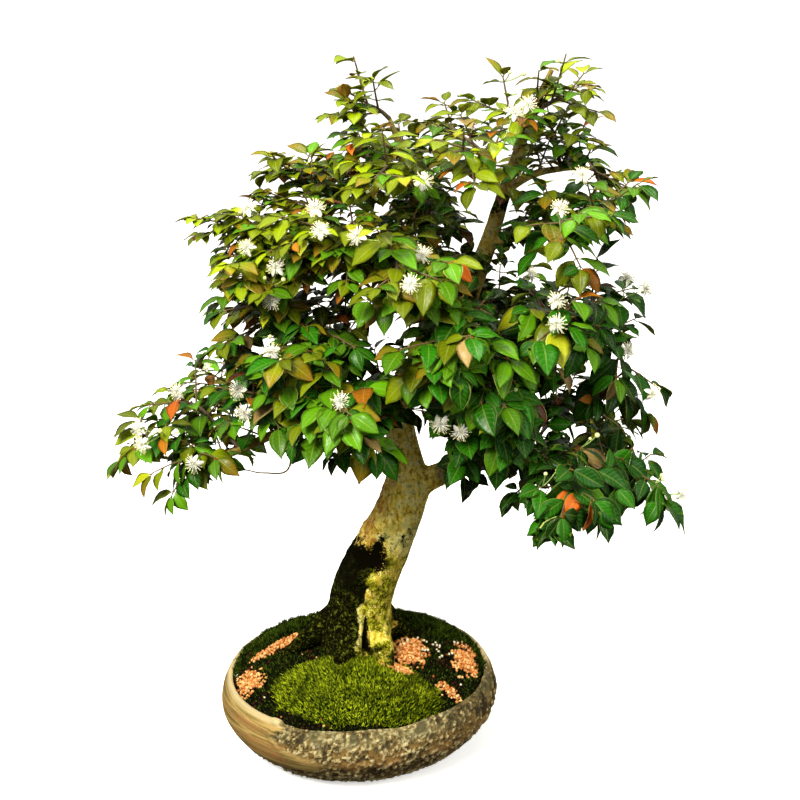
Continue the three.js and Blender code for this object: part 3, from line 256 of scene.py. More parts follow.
# The part of the trunk beside which no leaf grows: its top, middle x, and half-widths along x and y.
BARE_TRUNK_TOP = 300
BARE_TRUNK_X = 45
BARE_TRUNK_HALF = (45, 60)
# The crown is thin at the upper right, beyond an x and a z, and full at the left and in the middle.
THIN_FROM = (115, 430)
THIN_SHARE = 0.2
FULL_LEFT_TO_X = 10
FULL_LEFT_FROM_Z = 400
FULL_MIDDLE_X = (-60, 130)
FULL_MIDDLE_Z = (340, 460)
# A bare thin twig under the left limbs: [x, y, z] along it.
BARE_TWIG = ((-49, -40, 272), (-70, -46, 269), (-88, -50, 274), (-104, -50, 270))
BARE_TWIG_RADII = (1.1, 0.4)
BARE_TWIG_SEED = 5

# Leaf: [share of the length, share of the full half-width] from the base to the drawn-out tip.
LEAF_OUTLINE = [(0.06, 0.3), (0.17, 0.68), (0.32, 0.94), (0.49, 1), (0.66, 0.82), (0.8, 0.47), (0.91, 0.16)]
INNER_LEAF_OUTLINE = [(0.08, 0.38), (0.25, 0.86), (0.47, 1), (0.69, 0.76), (0.87, 0.26)]
LEAF_ACROSS = (-1, -0.5, 0, 0.5, 1)
HALVES_ACROSS = (-1, 0, 1)
LEAF_HALF_WIDTH = 0.27
LEAF_FOLD = 0.26
LEAF_ARCH = 0.16
LEAF_THICKNESS = 0.3
PETIOLE_LENGTH = 2.6
PETIOLE_RADIUS = 0.5

# Flowers: [x, y, z, how many stand together, 1 where the bunch is a node of its own].
BLOOMS = [
    [-8, -124, 496, 2, 1], [76, -116, 509, 1, 1], [56, -154, 450, 1, 1], [154, -124, 423, 2, 1],
    [214, -62, 384, 1, 1], [-78, -94, 348, 2, 1], [-170, -52, 305, 3, 1],
    [14, -126, 480, 1, 0], [-69, -74, 465, 1, 0], [-43, -86, 451, 1, 0], [-48, -90, 427, 1, 0],
    [-50, -92, 387, 1, 0], [-60, -40, 505, 1, 0], [136, -62, 562, 1, 0], [154, -52, 560, 1, 0],
    [162, -96, 497, 1, 0], [178, -62, 510, 1, 0], [232, -32, 421, 2, 0], [95, -124, 467, 1, 0],
    [-120, -40, 345, 1, 0], [0, -146, 363, 1, 0], [-116, -72, 293, 1, 0], [77, -126, 325, 2, 0],
    [150, -118, 272, 1, 0], [262, -74, 250, 2, 0], [246, -62, 336, 1, 0],
    [-60, 110, 400, 1, 0], [60, 150, 480, 1, 0], [170, 130, 400, 2, 0], [-120, 90, 320, 1, 0],
    [200, 90, 300, 1, 0], [20, 130, 360, 1, 0],
]
BLOOM_SEED = 77
FLOWER_SEED = 5000
PEDICEL_SHORTEST = 8
PEDICEL_LONGEST = 20
PEDICEL_RADIUS = 0.45
FORK_AT = 5
BLOOM_SPREAD = 9
BLOOM_CLEARANCE = 10
PETAL_LENGTH = 5.8
PETAL_HALF_WIDTH = 2.1
# Petal: [share of the length, share of the full half-width].
PETAL_ROWS = ((0, 0.16), (0.2, 0.5), (0.45, 0.88), (0.7, 1), (0.9, 0.7), (1, 0.22))
SEPAL_LENGTH = 3.4
SEPAL_HALF_WIDTH = 1.1
HEART_RADIUS = 1.5
STAMENS = 54
STAMEN_LENGTH = 8.2
STAMEN_RADIUS = 0.2
ANTHER_RADIUS = 0.5

# Round flower buds: [x, y, z, how many stand together].
BUDS = [
    [18, -100, 412, 2], [-39, -92, 378, 3], [32, -98, 492, 2], [166, -40, 590, 1], [146, -50, 588, 2],
    [102, -128, 313, 3], [134, -126, 366, 2], [173, -112, 362, 2], [209, -98, 345, 2], [162, -126, 332, 2],
    [252, -84, 274, 2], [-120, -80, 330, 2], [-40, -104, 450, 2], [90, 130, 420, 2], [-80, 110, 340, 2],
]
BUD_RADIUS = 1.9
BUD_SEED = 31
BUD_BUNCH_SEED = 600

# Ground cover: [centre x, y, half-length, half-width, turn in degrees, thickness].
MOSS_PADS = {
    "moss_cushion": [-2, -63, 72, 39, -8, 9],
    "moss_dark_left": [-71, 56, 42, 14, 45, 5],
    "moss_dark_right": [60, 62, 46, 21, -42, 7],
}
GRAIN_PADS = {
    "grain_patch_left": [-94, -28, 11, 17, 14, 3],
    "grain_patch_back": [-68, 20, 26, 7.5, 26, 3],
    "grain_patch_trunk": [47, -10, 13, 23, -12, 3],
    "grain_patch_right": [96, -1, 11, 24, -4, 3],
    "grain_patch_front": [79, -55, 11, 5, -30, 3],
}
# Grains spilt on the moss, and pale grains among the tan ones.
SPILL = (34, -42, 15, 7, -18, 0)
SPILT_GRAINS = 150
PALE_SCATTER = (60, 2, 26, 16, -20, 0)
PALE_GRAINS = 26
# Layers of a patch of grains: [spacing, height over the soil, reach as a share of the patch].
GRAIN_LAYERS = ((2.3, 0.8, 1.3), (2.5, 2.2, 0.9))
GRAIN_SEED = 40
MOSS_RINGS = 22
MOSS_SIDES = 90
BRIGHT_SPACING = 1.7
DARK_SPACING = 1.8
BRIGHT_BLADE = 3.9
DARK_BLADE = 3.2
MOSS_SEED = 70
GROUND_SPOTS = 5200
GROUND_REACH = 110.5
TRUNK_FOOT_REACH = 24
RIM_TUFTS = 1200
RIM_MOSS_FROM = math.radians(-8)
RIM_MOSS_TO = math.radians(186)
RIM_MOSS_REACH = 104
RIM_MOSS_WIDTH = 8
LITTER_SEED = 12

# Camera: a 72 mm lens on a 36 mm sensor, above and in front, and turned a little.
CAMERA_PLACE = (0.044, -1.283, 0.742)
CAMERA_PITCH = math.radians(18.45)
CAMERA_ROLL = math.radians(1.6)
CAMERA_LENS = 72
CAMERA_SENSOR = 36

# Light: the white air all round, and a little glow of the paper, which keeps it white far away.
PAPER_STEPS = [(20000, 0), (60000, 2500)]
AIR_LIGHT = 0.75
AIR_BELOW = 0.12
AIR_TINT = (1, 0.985, 0.92, 1)
AIR_BAND = (-0.4, 0.6)
PAPER_GLOW = 0.55
# Lamps: name, place in metres, size, power and tint. They all shine on one place.
LAMPS = (
    ("key", (-0.7, -1.35, 1.8), 0.8, 97, (1, 0.96, 0.84)),
    ("fill", (1.4, -1.1, 1.1), 1.2, 18, (1, 0.98, 0.9)),
    ("top", (0.3, 0.35, 2.1), 1.0, 38, (1, 0.97, 0.86)),
)
LAMP_AIM = Vector((0.05, 0, 0.28))


# Numbers and vectors

UP = np.array([0.0, 0.0, 1.0])


def vec(x, y, z):
    return np.array([float(x), float(y), float(z)])


def unit(vector):
    return vector / max(np.linalg.norm(vector), 1e-9)


def smooth_ramp(low, high, value):
    share = np.clip((value - low) / (high - low), 0, 1)
    return share * share * (3 - 2 * share)


def seeded_draws(seed):
    """Draws from 0 to 1, one linear congruential step each, as the solids use them."""
    state = seed

    def draw():
        nonlocal state
        state = (state * 1664525 + 1013904223) & 0xFFFFFFFF
        return state / 4294967296

    return draw


def colour(red, green, blue):
    """A colour given as 0 to 255 on screen, as a shader wants it."""
    linear = []
    for value in (red, green, blue):
        share = value / 255
        linear.append(share / 12.92 if share <= 0.04045 else ((share + 0.055) / 1.055) ** 2.4)
    return (*linear, 1.0)


def cloudy(x, y, z, size=1):
    """Smooth noise, mostly from -0.5 to 0.5, in lumps of a size."""
    return noise.noise(Vector((x, y, z)) / size)


def mixed(first, second, share):
    return tuple(a + (b - a) * share for a, b in zip(first, second))


def smooth_path(rows, steps):
    """Points on a smooth curve through the rows, with the given steps between two rows."""
    rows = [np.array(row, float) for row in rows]
    ends = [2 * rows[0] - rows[1], *rows, 2 * rows[-1] - rows[-2]]
    path = []
    for i in range(1, len(ends) - 2):
        a, b, c, d = ends[i - 1 : i + 3]
        slope = c - a
        bend = 2 * a - 5 * b + 4 * c - d
        swing = 3 * b - a - 3 * c + d
        for step in range(steps):
            t = step / steps
            path.append(0.5 * (2 * b + slope * t + bend * t**2 + swing * t**3))
    path.append(rows[-1])
    return path


# Materials


class Value:
    """A socket in a material. Arithmetic on it adds Math nodes."""

    def __init__(self, look, socket):
        self.look = look
        self.socket = socket

    def maths(self, operation, first, second=0.0):
        made = self.look.node("ShaderNodeMath", {"operation": operation}, {0: first, 1: second})
        return Value(self.look, made.outputs[0])

    def __add__(self, other):
        return self.maths("ADD", self, other)

    def __sub__(self, other):
        return self.maths("SUBTRACT", self, other)

    def __rsub__(self, other):
        return self.maths("SUBTRACT", other, self)

    def __mul__(self, other):
        return self.maths("MULTIPLY", self, other)

    def __abs__(self):
        return self.maths("ABSOLUTE", self)

    __radd__ = __add__
    __rmul__ = __mul__

    def fraction(self):
        return self.maths("FRACT", self)

    def ramp(self, low, high):
        """0 below low, 1 above high, and smooth between them."""
        settings = {"interpolation_type": "SMOOTHSTEP"}
        sockets = {"Value": self, "From Min": low, "From Max": high}
        return Value(self.look, self.look.node("ShaderNodeMapRange", settings, sockets).outputs[0])


class Look:
    """A material with a Principled shader, built from nodes."""

    def __init__(self, name, roughness=0.8, **uniform):
        self.material = bpy.data.materials.new(name)
        self.material.use_nodes = True
        self.tree = self.material.node_tree
        self.tree.nodes.clear()
        self.shader = self.node("ShaderNodeBsdfPrincipled", {}, {"Roughness": roughness, **uniform})
        self.node("ShaderNodeOutputMaterial", {}, {"Surface": Value(self, self.shader.outputs[0])})

    def node(self, kind, settings, sockets):
        """A node of a kind: its settings first, then the values or links of its sockets."""
        made = self.tree.nodes.new(kind)
        for name, setting in settings.items():
            if name == "stops":
                while len(made.color_ramp.elements) < len(setting):
                    made.color_ramp.elements.new(1)
                for element, (place, stop) in zip(made.color_ramp.elements, setting):
                    element.position = place
                    element.color = stop
            else:
                setattr(made, name, setting)
        for name, given in sockets.items():
            self.set(made, name, given)
        return made

    def set(self, node, name, given):
        if isinstance(given, Value):
            self.tree.links.new(given.socket, node.inputs[name])
        else:
            node.inputs[name].default_value = given

    def feed(self, **sockets):
        """Links to the shader, named with _ for a space."""
        for name, given in sockets.items():
            self.set(self.shader, name.replace("_", " "), given)

    def place(self):
        """Where a point is, in metres."""
        return Value(self, self.node("ShaderNodeTexCoord", {}, {}).outputs["Object"])

    def parts(self, vector):
        made = self.node("ShaderNodeSeparateXYZ", {}, {"Vector": vector})
        return [Value(self, made.outputs[i]) for i in range(3)]

    def noise(self, scale, detail=3.0, roughness=0.5, vector=None):
        """Cloudy noise, mostly from 0.3 to 0.7."""
        sockets = {"Vector": vector or self.place(), "Scale": scale, "Detail": detail, "Roughness": roughness}
        return Value(self, self.node("ShaderNodeTexNoise", {}, sockets).outputs[0])

    def streaks(self, factors, detail, roughness):
        """Noise with its own scale along each axis."""
        made = self.node("ShaderNodeVectorMath", {"operation": "MULTIPLY"}, {0: self.place(), 1: factors})
        return self.noise(1.0, detail, roughness, Value(self, made.outputs[0]))

    def cells(self, scale):
        """The distance to the middle of the nearest cell."""
        sockets = {"Vector": self.place(), "Scale": scale}
        return Value(self, self.node("ShaderNodeTexVoronoi", {}, sockets).outputs["Distance"])

    def painted(self, name):
        """The colour stored on the mesh under a name."""
        return Value(self, self.node("ShaderNodeAttribute", {"attribute_name": name}, {}).outputs["Color"])

    def stored(self, name):
        """The three numbers stored on the mesh under a name."""
        made = self.node("ShaderNodeAttribute", {"attribute_name": name}, {})
        return self.parts(Value(self, made.outputs["Vector"]))

    def mix(self, factor, first, second, blend="MIX"):
        """The first colour with a share of the second over it."""
        first, second = (given if isinstance(given, Value) else colour(*given) for given in (first, second))
        settings = {"data_type": "RGBA", "blend_type": blend}
        made = self.node("ShaderNodeMix", settings, {0: factor, 6: first, 7: second})
        return Value(self, made.outputs[2])

    def stops(self, value, *rows):
        """A colour that follows a value, from rows of a place and a colour."""
        stops = [(place, colour(*tone)) for place, *tone in rows]
        made = self.node("ShaderNodeValToRGB", {"stops": stops}, {"Fac": value})
        return Value(self, made.outputs[0])

    def bump(self, height, strength, depth):
        sockets = {"Height": height, "Strength": strength, "Distance": depth}
        return Value(self, self.node("ShaderNodeBump", {}, sockets).outputs[0])


def leaf_face_look():
    """The glossy upper face: a pale midrib, pale side veins and a mottled blade."""
    look = Look("leaf_face", 0.36, **{"Specular IOR Level": 0.13})
    along, across, pale_edge = look.stored("blade")
    side = abs(across)
    rib = 1 - side.ramp(0.02, 0.1)
    slant = (along * 8 - side * 1.7).fraction()
    vein = (1 - abs(slant - 0.5).ramp(0.03, 0.16)) * side.ramp(0.04, 0.14) * (1 - side.ramp(0.6, 0.95))
    mottle = look.noise(420, 2).ramp(0.35, 0.7)
    tone = look.mix(mottle * 0.35, look.painted("tone"), (150, 170, 44), "SOFT_LIGHT")
    tone = look.mix(rib * 0.16, tone, (176, 184, 92))
    tone = look.mix(vein * 0.08, tone, (158, 176, 70))
    tone = look.mix(side.ramp(0.84, 1) * pale_edge, tone, (214, 216, 120))
    veins = look.bump(0 - vein * 0.5 - rib, 0.3, 0.0004)
    look.feed(Base_Color=tone, Roughness=0.22 + mottle * 0.16, Normal=veins)
    return look.material


def leaf_back_look():
    """The dull lower face, paler and greyer, with raised veins."""
    look = Look("leaf_back", 0.66, **{"Specular IOR Level": 0.06})
    along, across, _ = look.stored("blade")
    side = abs(across)
    rib = 1 - side.ramp(0.03, 0.13)
    slant = (along * 8 - side * 1.7).fraction()
    vein = (1 - abs(slant - 0.5).ramp(0.05, 0.2)) * side.ramp(0.04, 0.14)
    tone = look.mix(0.3, look.painted("tone"), (112, 116, 34))
    tone = look.mix(rib * 0.5 + vein * 0.2, tone, (168, 162, 84))
    look.feed(Base_Color=tone, Normal=look.bump(vein + rib, 0.4, 0.0004))
    return look.material


def twig_look():
    """Young brown twigs with paler specks, reddish at their thin ends."""
    look = Look("twig", 0.72)
    fleck = look.noise(900, 4).ramp(0.42, 0.68)
    tone = look.mix(fleck * 0.3, look.painted("tone"), (130, 112, 76))
    look.feed(Base_Color=tone, Normal=look.bump(look.noise(1400, 3), 0.5, 0.0004))
    return look.material


def bark_look():
    """Bark of the trunk and limbs: mossy black, painted shade near black in the old scar, the slit and round
    the knot, yellow-green lichen, and smooth tan and olive above.
    """
    look = Look("bark", 0.95, **{"Specular IOR Level": 0.02})
    moss, lichen, red = look.stored("growth")
    hollow_shade, pale, limb = look.stored("marks")
    fine = look.noise(720, 5, roughness=0.7)
    crack = look.noise(300, 4, roughness=0.65)
    patch = look.noise(95, 4, roughness=0.6)
    grain = look.streaks((300, 300, 110), 5, 0.6)
    smooth = look.stops(
        grain * 0.55 + patch * 0.45,
        (0.38, 150, 120, 34), (0.45, 214, 184, 70), (0.51, 246, 222, 108),
        (0.59, 255, 244, 172),
    )
    tone = look.mix(patch.ramp(0.44, 0.6) * 0.35, smooth, (160, 150, 44))
    tone = look.mix(crack.ramp(0.5, 0.62) * 0.55, tone, (96, 70, 22))
    tone = look.mix(limb * (0.5 + grain * 0.5), tone, (54, 42, 26))
    tone = look.mix(red * crack.ramp(0.36, 0.58) * 0.8, tone, (168, 104, 44))
    lichens = look.stops(
        fine * 0.5 + crack * 0.5,
        (0.42, 18, 16, 2), (0.48, 88, 86, 8), (0.53, 148, 146, 16),
        (0.6, 214, 206, 82),
    )
    tone = look.mix(lichen * (patch + fine).ramp(0.86, 1.0), tone, lichens)
    tone = look.mix(pale * (fine + crack).ramp(0.86, 1.1), tone, (220, 210, 130))
    mosses = look.stops(
        fine * 0.45 + crack * 0.55,
        (0.44, 3, 4, 0), (0.51, 14, 16, 2), (0.57, 48, 52, 8), (0.66, 124, 130, 44),
    )
    mossy = moss * 1.6 + (patch - 0.5) * 2 + (crack - 0.5) * 1.6
    tone = look.mix(mossy.ramp(0.45, 0.75), tone, mosses)
    # Near black: fine dark specks, and painted shade, partly dark wood, in the old scar, beside it, in the
    # slit between the roots and round the knot.
    dark = hollow_shade * 1.3 + (fine + crack - 1) * 2 + (patch - 0.5)
    tone = look.mix(dark.ramp(0.45, 1.0), tone, (9, 7, 2))
    look.feed(Base_Color=tone, Normal=look.bump(fine * 0.5 + crack * 0.6, 0.9, 0.0016))
    return look.material


def clay_look():
    """Handmade clay: thrown pale bands at the left and behind, and coarse bark-like clay in front."""
    look = Look("clay", 0.85, **{"Specular IOR Level": 0.08})
    rough, proud_less_shade, streak = look.stored("clay")
    height = look.parts(look.place())[2] * 1000
    drift = look.noise(9, 3)
    layers = look.streaks((7, 7, 150), 3, 0.5)
    threads = look.streaks((9, 9, 560), 3, 0.5)
    fine = look.noise(900, 4, roughness=0.75)
    cloud = look.noise(60, 4, roughness=0.65)
    grit = look.noise(420, 3, roughness=0.7)
    smooth = look.stops(
        layers * 0.7 + drift * 0.3,
        (0.38, 98, 84, 44), (0.44, 140, 118, 64), (0.49, 176, 148, 88),
        (0.53, 124, 108, 60), (0.58, 160, 116, 66), (0.66, 146, 128, 72),
    )
    smooth = look.mix(threads.ramp(0.54, 0.66) * 0.36, smooth, (170, 112, 70))
    smooth = look.mix(threads.ramp(0.46, 0.36) * 0.4, smooth, (84, 74, 42))
    smooth = look.mix(height.ramp(28, 12) * 0.7, smooth, (112, 78, 42))
    smooth = look.mix((grit * 0.5 + fine * 0.5).ramp(0.52, 0.66) * 0.55, smooth, (58, 50, 30))
    smooth = look.mix(height.ramp(60, 64) * 0.5, smooth, (206, 192, 150))
    belt_height = height - 29 - drift * 12
    belt = (1 - abs(belt_height).ramp(2, 7)) * look.noise(30, 3).ramp(0.4, 0.54)
    ground = look.stops(
        cloud * 0.6 + grit * 0.4,
        (0.4, 46, 37, 20), (0.48, 84, 71, 42), (0.55, 128, 98, 48), (0.64, 110, 98, 64),
    )
    ground = look.mix(belt * 0.75, ground, (168, 128, 72))
    nugget = look.stops(
        grit * 0.6 + cloud * 0.4,
        (0.38, 118, 100, 60), (0.47, 170, 150, 98), (0.55, 212, 198, 150),
        (0.64, 156, 142, 102),
    )
    nugget = look.mix(belt * 0.4, nugget, (192, 148, 90))
    # Pale nuggets where the stored share is high; at the right it is lowered as painted shade.
    rugged = look.mix((proud_less_shade + (fine - 0.5) * 0.7).ramp(0.18, 0.6), ground, nugget)
    rugged = look.mix((fine * 0.6 + grit * 0.4).ramp(0.47, 0.36) * 0.85, rugged, (34, 27, 17))
    rugged = look.mix(streak.ramp(0.1, -0.3) * height.ramp(40, 54) * 0.7, rugged, (50, 46, 34))
    green = height.ramp(46, 58) * cloud.ramp(0.42, 0.56) * 0.45
    rugged = look.mix(green, rugged, (94, 96, 66))
    rugged = look.mix(0.12, rugged, (30, 26, 14))
    tone = look.mix(rough, smooth, rugged)
    relief = fine * 0.5 + grit * 0.4 + threads * 0.2
    look.feed(Base_Color=tone, Normal=look.bump(relief, 0.8, 0.0012))
    return look.material


def soil_look():
    look = Look("soil", 0.95, **{"Specular IOR Level": 0.03})
    crumb = look.cells(520)
    tone = look.stops(
        look.noise(240, 5, roughness=0.7),
        (0.36, 4, 4, 1), (0.52, 10, 9, 3), (0.64, 20, 19, 6), (0.78, 52, 42, 20),
    )
    look.feed(Base_Color=tone, Normal=look.bump(crumb, 0.8, 0.002))
    return look.material


def painted_look(name, roughness, fleck_colour, fleck_scale, fleck_share, **uniform):
    """A finish whose colour is stored on the mesh, broken up by fine flecks."""
    look = Look(name, roughness, **uniform)
    fleck = look.noise(fleck_scale, 3, roughness=0.6)
    tone = look.mix(fleck.ramp(0.45, 0.7) * fleck_share, look.painted("tone"), fleck_colour)
    look.feed(Base_Color=tone, Normal=look.bump(fleck, 0.5, 0.0006))
    return look.material


def screen_look():
    look = Look("drain_plastic", 0.55)
    scuff = look.noise(300, 4)
    tone = look.mix(scuff.ramp(0.45, 0.7), (30, 32, 36), (58, 58, 58))
    look.feed(Base_Color=tone, Roughness=0.45 + scuff * 0.3, Normal=look.bump(scuff, 0.3, 0.0004))
    return look.material


LOOKS = {
    "leaf_face": leaf_face_look(),
    "leaf_back": leaf_back_look(),
    "twig": twig_look(),
    "bark": bark_look(),
    "clay": clay_look(),
    "soil": soil_look(),
    "petal": painted_look("petal", 0.55, (226, 226, 206), 700, 0.4),
    "moss": painted_look("moss", 0.85, (10, 22, 0), 1500, 0.3, **{"Specular IOR Level": 0.03}),
    "granule": painted_look("granule", 0.9, (120, 66, 34), 900, 0.5, **{"Specular IOR Level": 0.05}),
    "plastic": screen_look(),
}


# Meshes


class Shape:
    """Points, faces, and a colour and three numbers for each point, gathered into one mesh."""

    def __init__(self):
        self.points = []
        self.faces = []
        self.tones = []
        self.numbers = []
        self.looks = []
        self.count = 0

    def add(self, points, faces, tone, numbers=None, looks=0):
        """points is (n, 3) in millimetres. tone is one colour, or one for each point."""
        points = np.asarray(points, float)
        total = len(points)
        self.points.append(points)
        tones = np.asarray(tone, float)
        self.tones.append(np.broadcast_to(tones, (total, 4)))
        self.numbers.append(np.zeros((total, 3)) if numbers is None else numbers)
        start = self.count
        self.faces.extend(tuple(corner + start for corner in face) for face in faces)
        self.looks.extend([looks] * len(faces) if isinstance(looks, int) else looks)
        self.count += total

    def piece(self, name, looks, slot_name):
        """The finished object, which rides on the root body."""
        mesh = bpy.data.meshes.new(name)
        mesh.from_pydata((np.concatenate(self.points) * MM).tolist(), [], self.faces)
        mesh.polygons.foreach_set("material_index", self.looks)
        mesh.polygons.foreach_set("use_smooth", [True] * len(self.faces))
        store_colour(mesh, "tone", np.concatenate(self.tones))
        store_numbers(mesh, "blade", np.concatenate(self.numbers))
        for look in looks:
            mesh.materials.append(LOOKS[look])
        mesh.update()
        piece = bpy.data.objects.new(name, mesh)
        bpy.context.scene.collection.objects.link(piece)
        return settle(piece)


def settle(piece):
    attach(piece, "root")
    return piece


def store_colour(mesh, name, values):
    mesh.attributes.new(name, "FLOAT_COLOR", "POINT").data.foreach_set("color", np.ravel(values))


def store_numbers(mesh, name, values):
    mesh.attributes.new(name, "FLOAT_VECTOR", "POINT").data.foreach_set("vector", np.ravel(values))


def mesh_points(mesh):
    """The mesh's points in millimetres."""
    flat = np.zeros(len(mesh.vertices) * 3)
    mesh.vertices.foreach_get("co", flat)
    return flat.reshape(-1, 3) / MM


def mesh_normals(mesh):
    flat = np.zeros(len(mesh.vertices) * 3)
    mesh.vertices.foreach_get("normal", flat)
    return flat.reshape(-1, 3)


def set_points(mesh, points):
    mesh.vertices.foreach_set("co", np.ravel(points * MM))
    mesh.update()


def object_of(name, points, faces):
    mesh = bpy.data.meshes.new(name)
    mesh.from_pydata((np.asarray(points) * MM).tolist(), [], faces)
    mesh.update()
    made = bpy.data.objects.new(name, mesh)
    bpy.context.scene.collection.objects.link(made)
    return made


def apply_modifiers(piece):
    """The piece's mesh with its modifiers worked into it."""
    bpy.context.view_layer.update()
    finished = bpy.data.meshes.new_from_object(piece.evaluated_get(bpy.context.evaluated_depsgraph_get()))
    piece.modifiers.clear()
    piece.data = finished


def shade_smooth(mesh):
    mesh.polygons.foreach_set("use_smooth", [True] * len(mesh.polygons))


def rings_mesh(rings, top, bottom):
    """A closed skin over the rings, from the bottom point to the top point."""
    sides = len(rings[0])
    points = np.concatenate([[bottom], *rings, [top]])
    last = len(points) - 1
    faces = []
    for k in range(sides):
        following = (k + 1) % sides
        faces.append((0, 1 + following, 1 + k))
        faces.append((last, last - sides + k, last - sides + following))
        for i in range(len(rings) - 1):
            low = 1 + i * sides
            high = low + sides
            faces.append((low + k, low + following, high + following, high + k))
    return points, faces


def tube_mesh(points, radii, sides):
    """A closed tube with pointed ends, as points and faces."""
    points = [np.asarray(point, float)[:3] for point in points]
    turns = [2 * math.pi * k / sides for k in range(sides)]
    across = vec(0, 1, 0)
    rings = []
    for i, point in enumerate(points):
        along = unit(points[min(i + 1, len(points) - 1)] - points[max(i - 1, 0)])
        across = unit(across - along * np.dot(across, along))
        other = np.cross(along, across)
        ways = [across * math.cos(turn) + other * math.sin(turn) for turn in turns]
        rings.append([point + radii[i] * way for way in ways])
    return rings_mesh(rings, points[-1], points[0])


def ball_mesh(subdivisions):
    """A unit ball of triangles, as points and faces."""
    work = bmesh.new()
    bmesh.ops.create_icosphere(work, subdivisions=subdivisions, radius=1)
    points = np.array([v.co[:] for v in work.verts])
    faces = [tuple(v.index for v in face.verts) for face in work.faces]
    work.free()
    return points, faces


# Pot


def rough_share(angle):
    """How rough the clay is at an angle round the pot: 0 smooth, 1 rough and chipped."""
    rise = smooth_ramp(ROUGH_FROM - ROUGH_BORDER, ROUGH_FROM + ROUGH_BORDER, angle)
    return rise * (1 - smooth_ramp(ROUGH_TO - ROUGH_BORDER, ROUGH_TO + ROUGH_BORDER, angle))


def waves(rows, angle):
    """The sum of the waves in the rows, at an angle round the pot."""
    return sum(reach * np.sin(count * angle + phase) for reach, count, phase in rows)


def pot_ring(radius, height, sides):
    """One ring of the handmade wall: out of round, and chipped at the rim where it is rough."""
    angle = -math.pi + 2 * math.pi * np.arange(sides) / sides
    reach = radius + waves(WALL_WAVES, angle)
    rim_share = max(0, (height - RIM_ZONE_FROM) / (POT_TOP - RIM_ZONE_FROM))
    drop = RIM_CHIP_DEPTH * rough_share(angle) * (CHIP_SHARE + waves(CHIP_WAVES, angle)) * rim_share
    return np.stack([reach * np.cos(angle), reach * np.sin(angle), height - drop], axis=1)


def clay_relief(point, angle, outside):
    """How far the clay stands out at a point, its rough share, how far a nugget stands out less painted shade
    at the right, and its streaks.
    """
    height = point[2]
    turn = angle + 0.09 * cloudy(height / 7, angle * 3, 1) + 0.05 * cloudy(height / 2, angle, 3)
    belly = smooth_ramp(*BELLY_TOP, height) * smooth_ramp(*BELLY_BOTTOM, height)
    border = ROUGH_FROM + 0.34 * belly - 0.25 * smooth_ramp(22, 14, height)
    soft = 0.012 + 0.12 * smooth_ramp(48, 40, height)
    rough = smooth_ramp(border - soft, border + soft, turn)
    rough *= 1 - smooth_ramp(ROUGH_TO - 0.03, ROUGH_TO + 0.03, turn)
    foot = smooth_ramp(22 + 8 * cloudy(angle * 5, 2, 7), 14, height) * 0.8
    rough = max(rough, foot * smooth_ramp(-2.9, -2.5, angle) * smooth_ramp(0.6, 0.2, angle))
    drag = 0.05 * cloudy(angle * 12, height / 6, 8)
    streak = cloudy((angle + drag) * 44, height / 11, 5)
    groove = cloudy(angle * 1.3, height / 1.7 + 1.5 * math.sin(angle * 1.7), 9)
    smooth_lift = 0.3 * groove + 0.5 * cloudy(angle * 3, height / 16, 2)
    place = Vector((point[0], point[1], point[2] * 1.15))
    distances, centres = noise.voronoi(place / NUGGET_SPACING)
    size = 0.45 + 1.1 * abs(noise.noise(centres[0] * 3.7))
    bead = smooth_ramp(0.85 * size, 0.3 * size, distances[0])
    crumb = smooth_ramp(0.62, 0.2, noise.voronoi(place / CRUMB_SPACING)[0][0])
    rim = smooth_ramp(*RIM_BAND, height)
    crust = noise.fractal(place / 3.2, 0.8, 2.2, 3)
    rough_lift = (1.7 * bead + 0.6 * crumb) * (1 - 0.45 * rim) - 1.3 + 1.1 * rim * streak
    rough_lift += 0.8 * noise.noise(place / 13) + 0.7 * crust
    ledge = smooth_ramp(0.05, 0.01, abs(turn - ROUGH_FROM + 0.02)) * smooth_ramp(*LEDGE_BAND, height)
    lift = smooth_lift * (1 - rough) + rough_lift * rough + 1.3 * ledge
    proud_less_shade = (bead * 0.7 + crumb * 0.3 + 0.3 * crust) * (1 - 0.45 * rim) + rim * (0.15 + 0.35 * streak)
    # Painted shade, partly darker clay: the right of the rough front gets fewer pale nuggets, so it shows
    # darker.
    proud_less_shade -= 0.2 * smooth_ramp(-1.1, -0.5, angle)
    return lift * outside, rough, min(max(proud_less_shade, 0.0), 1.0), streak


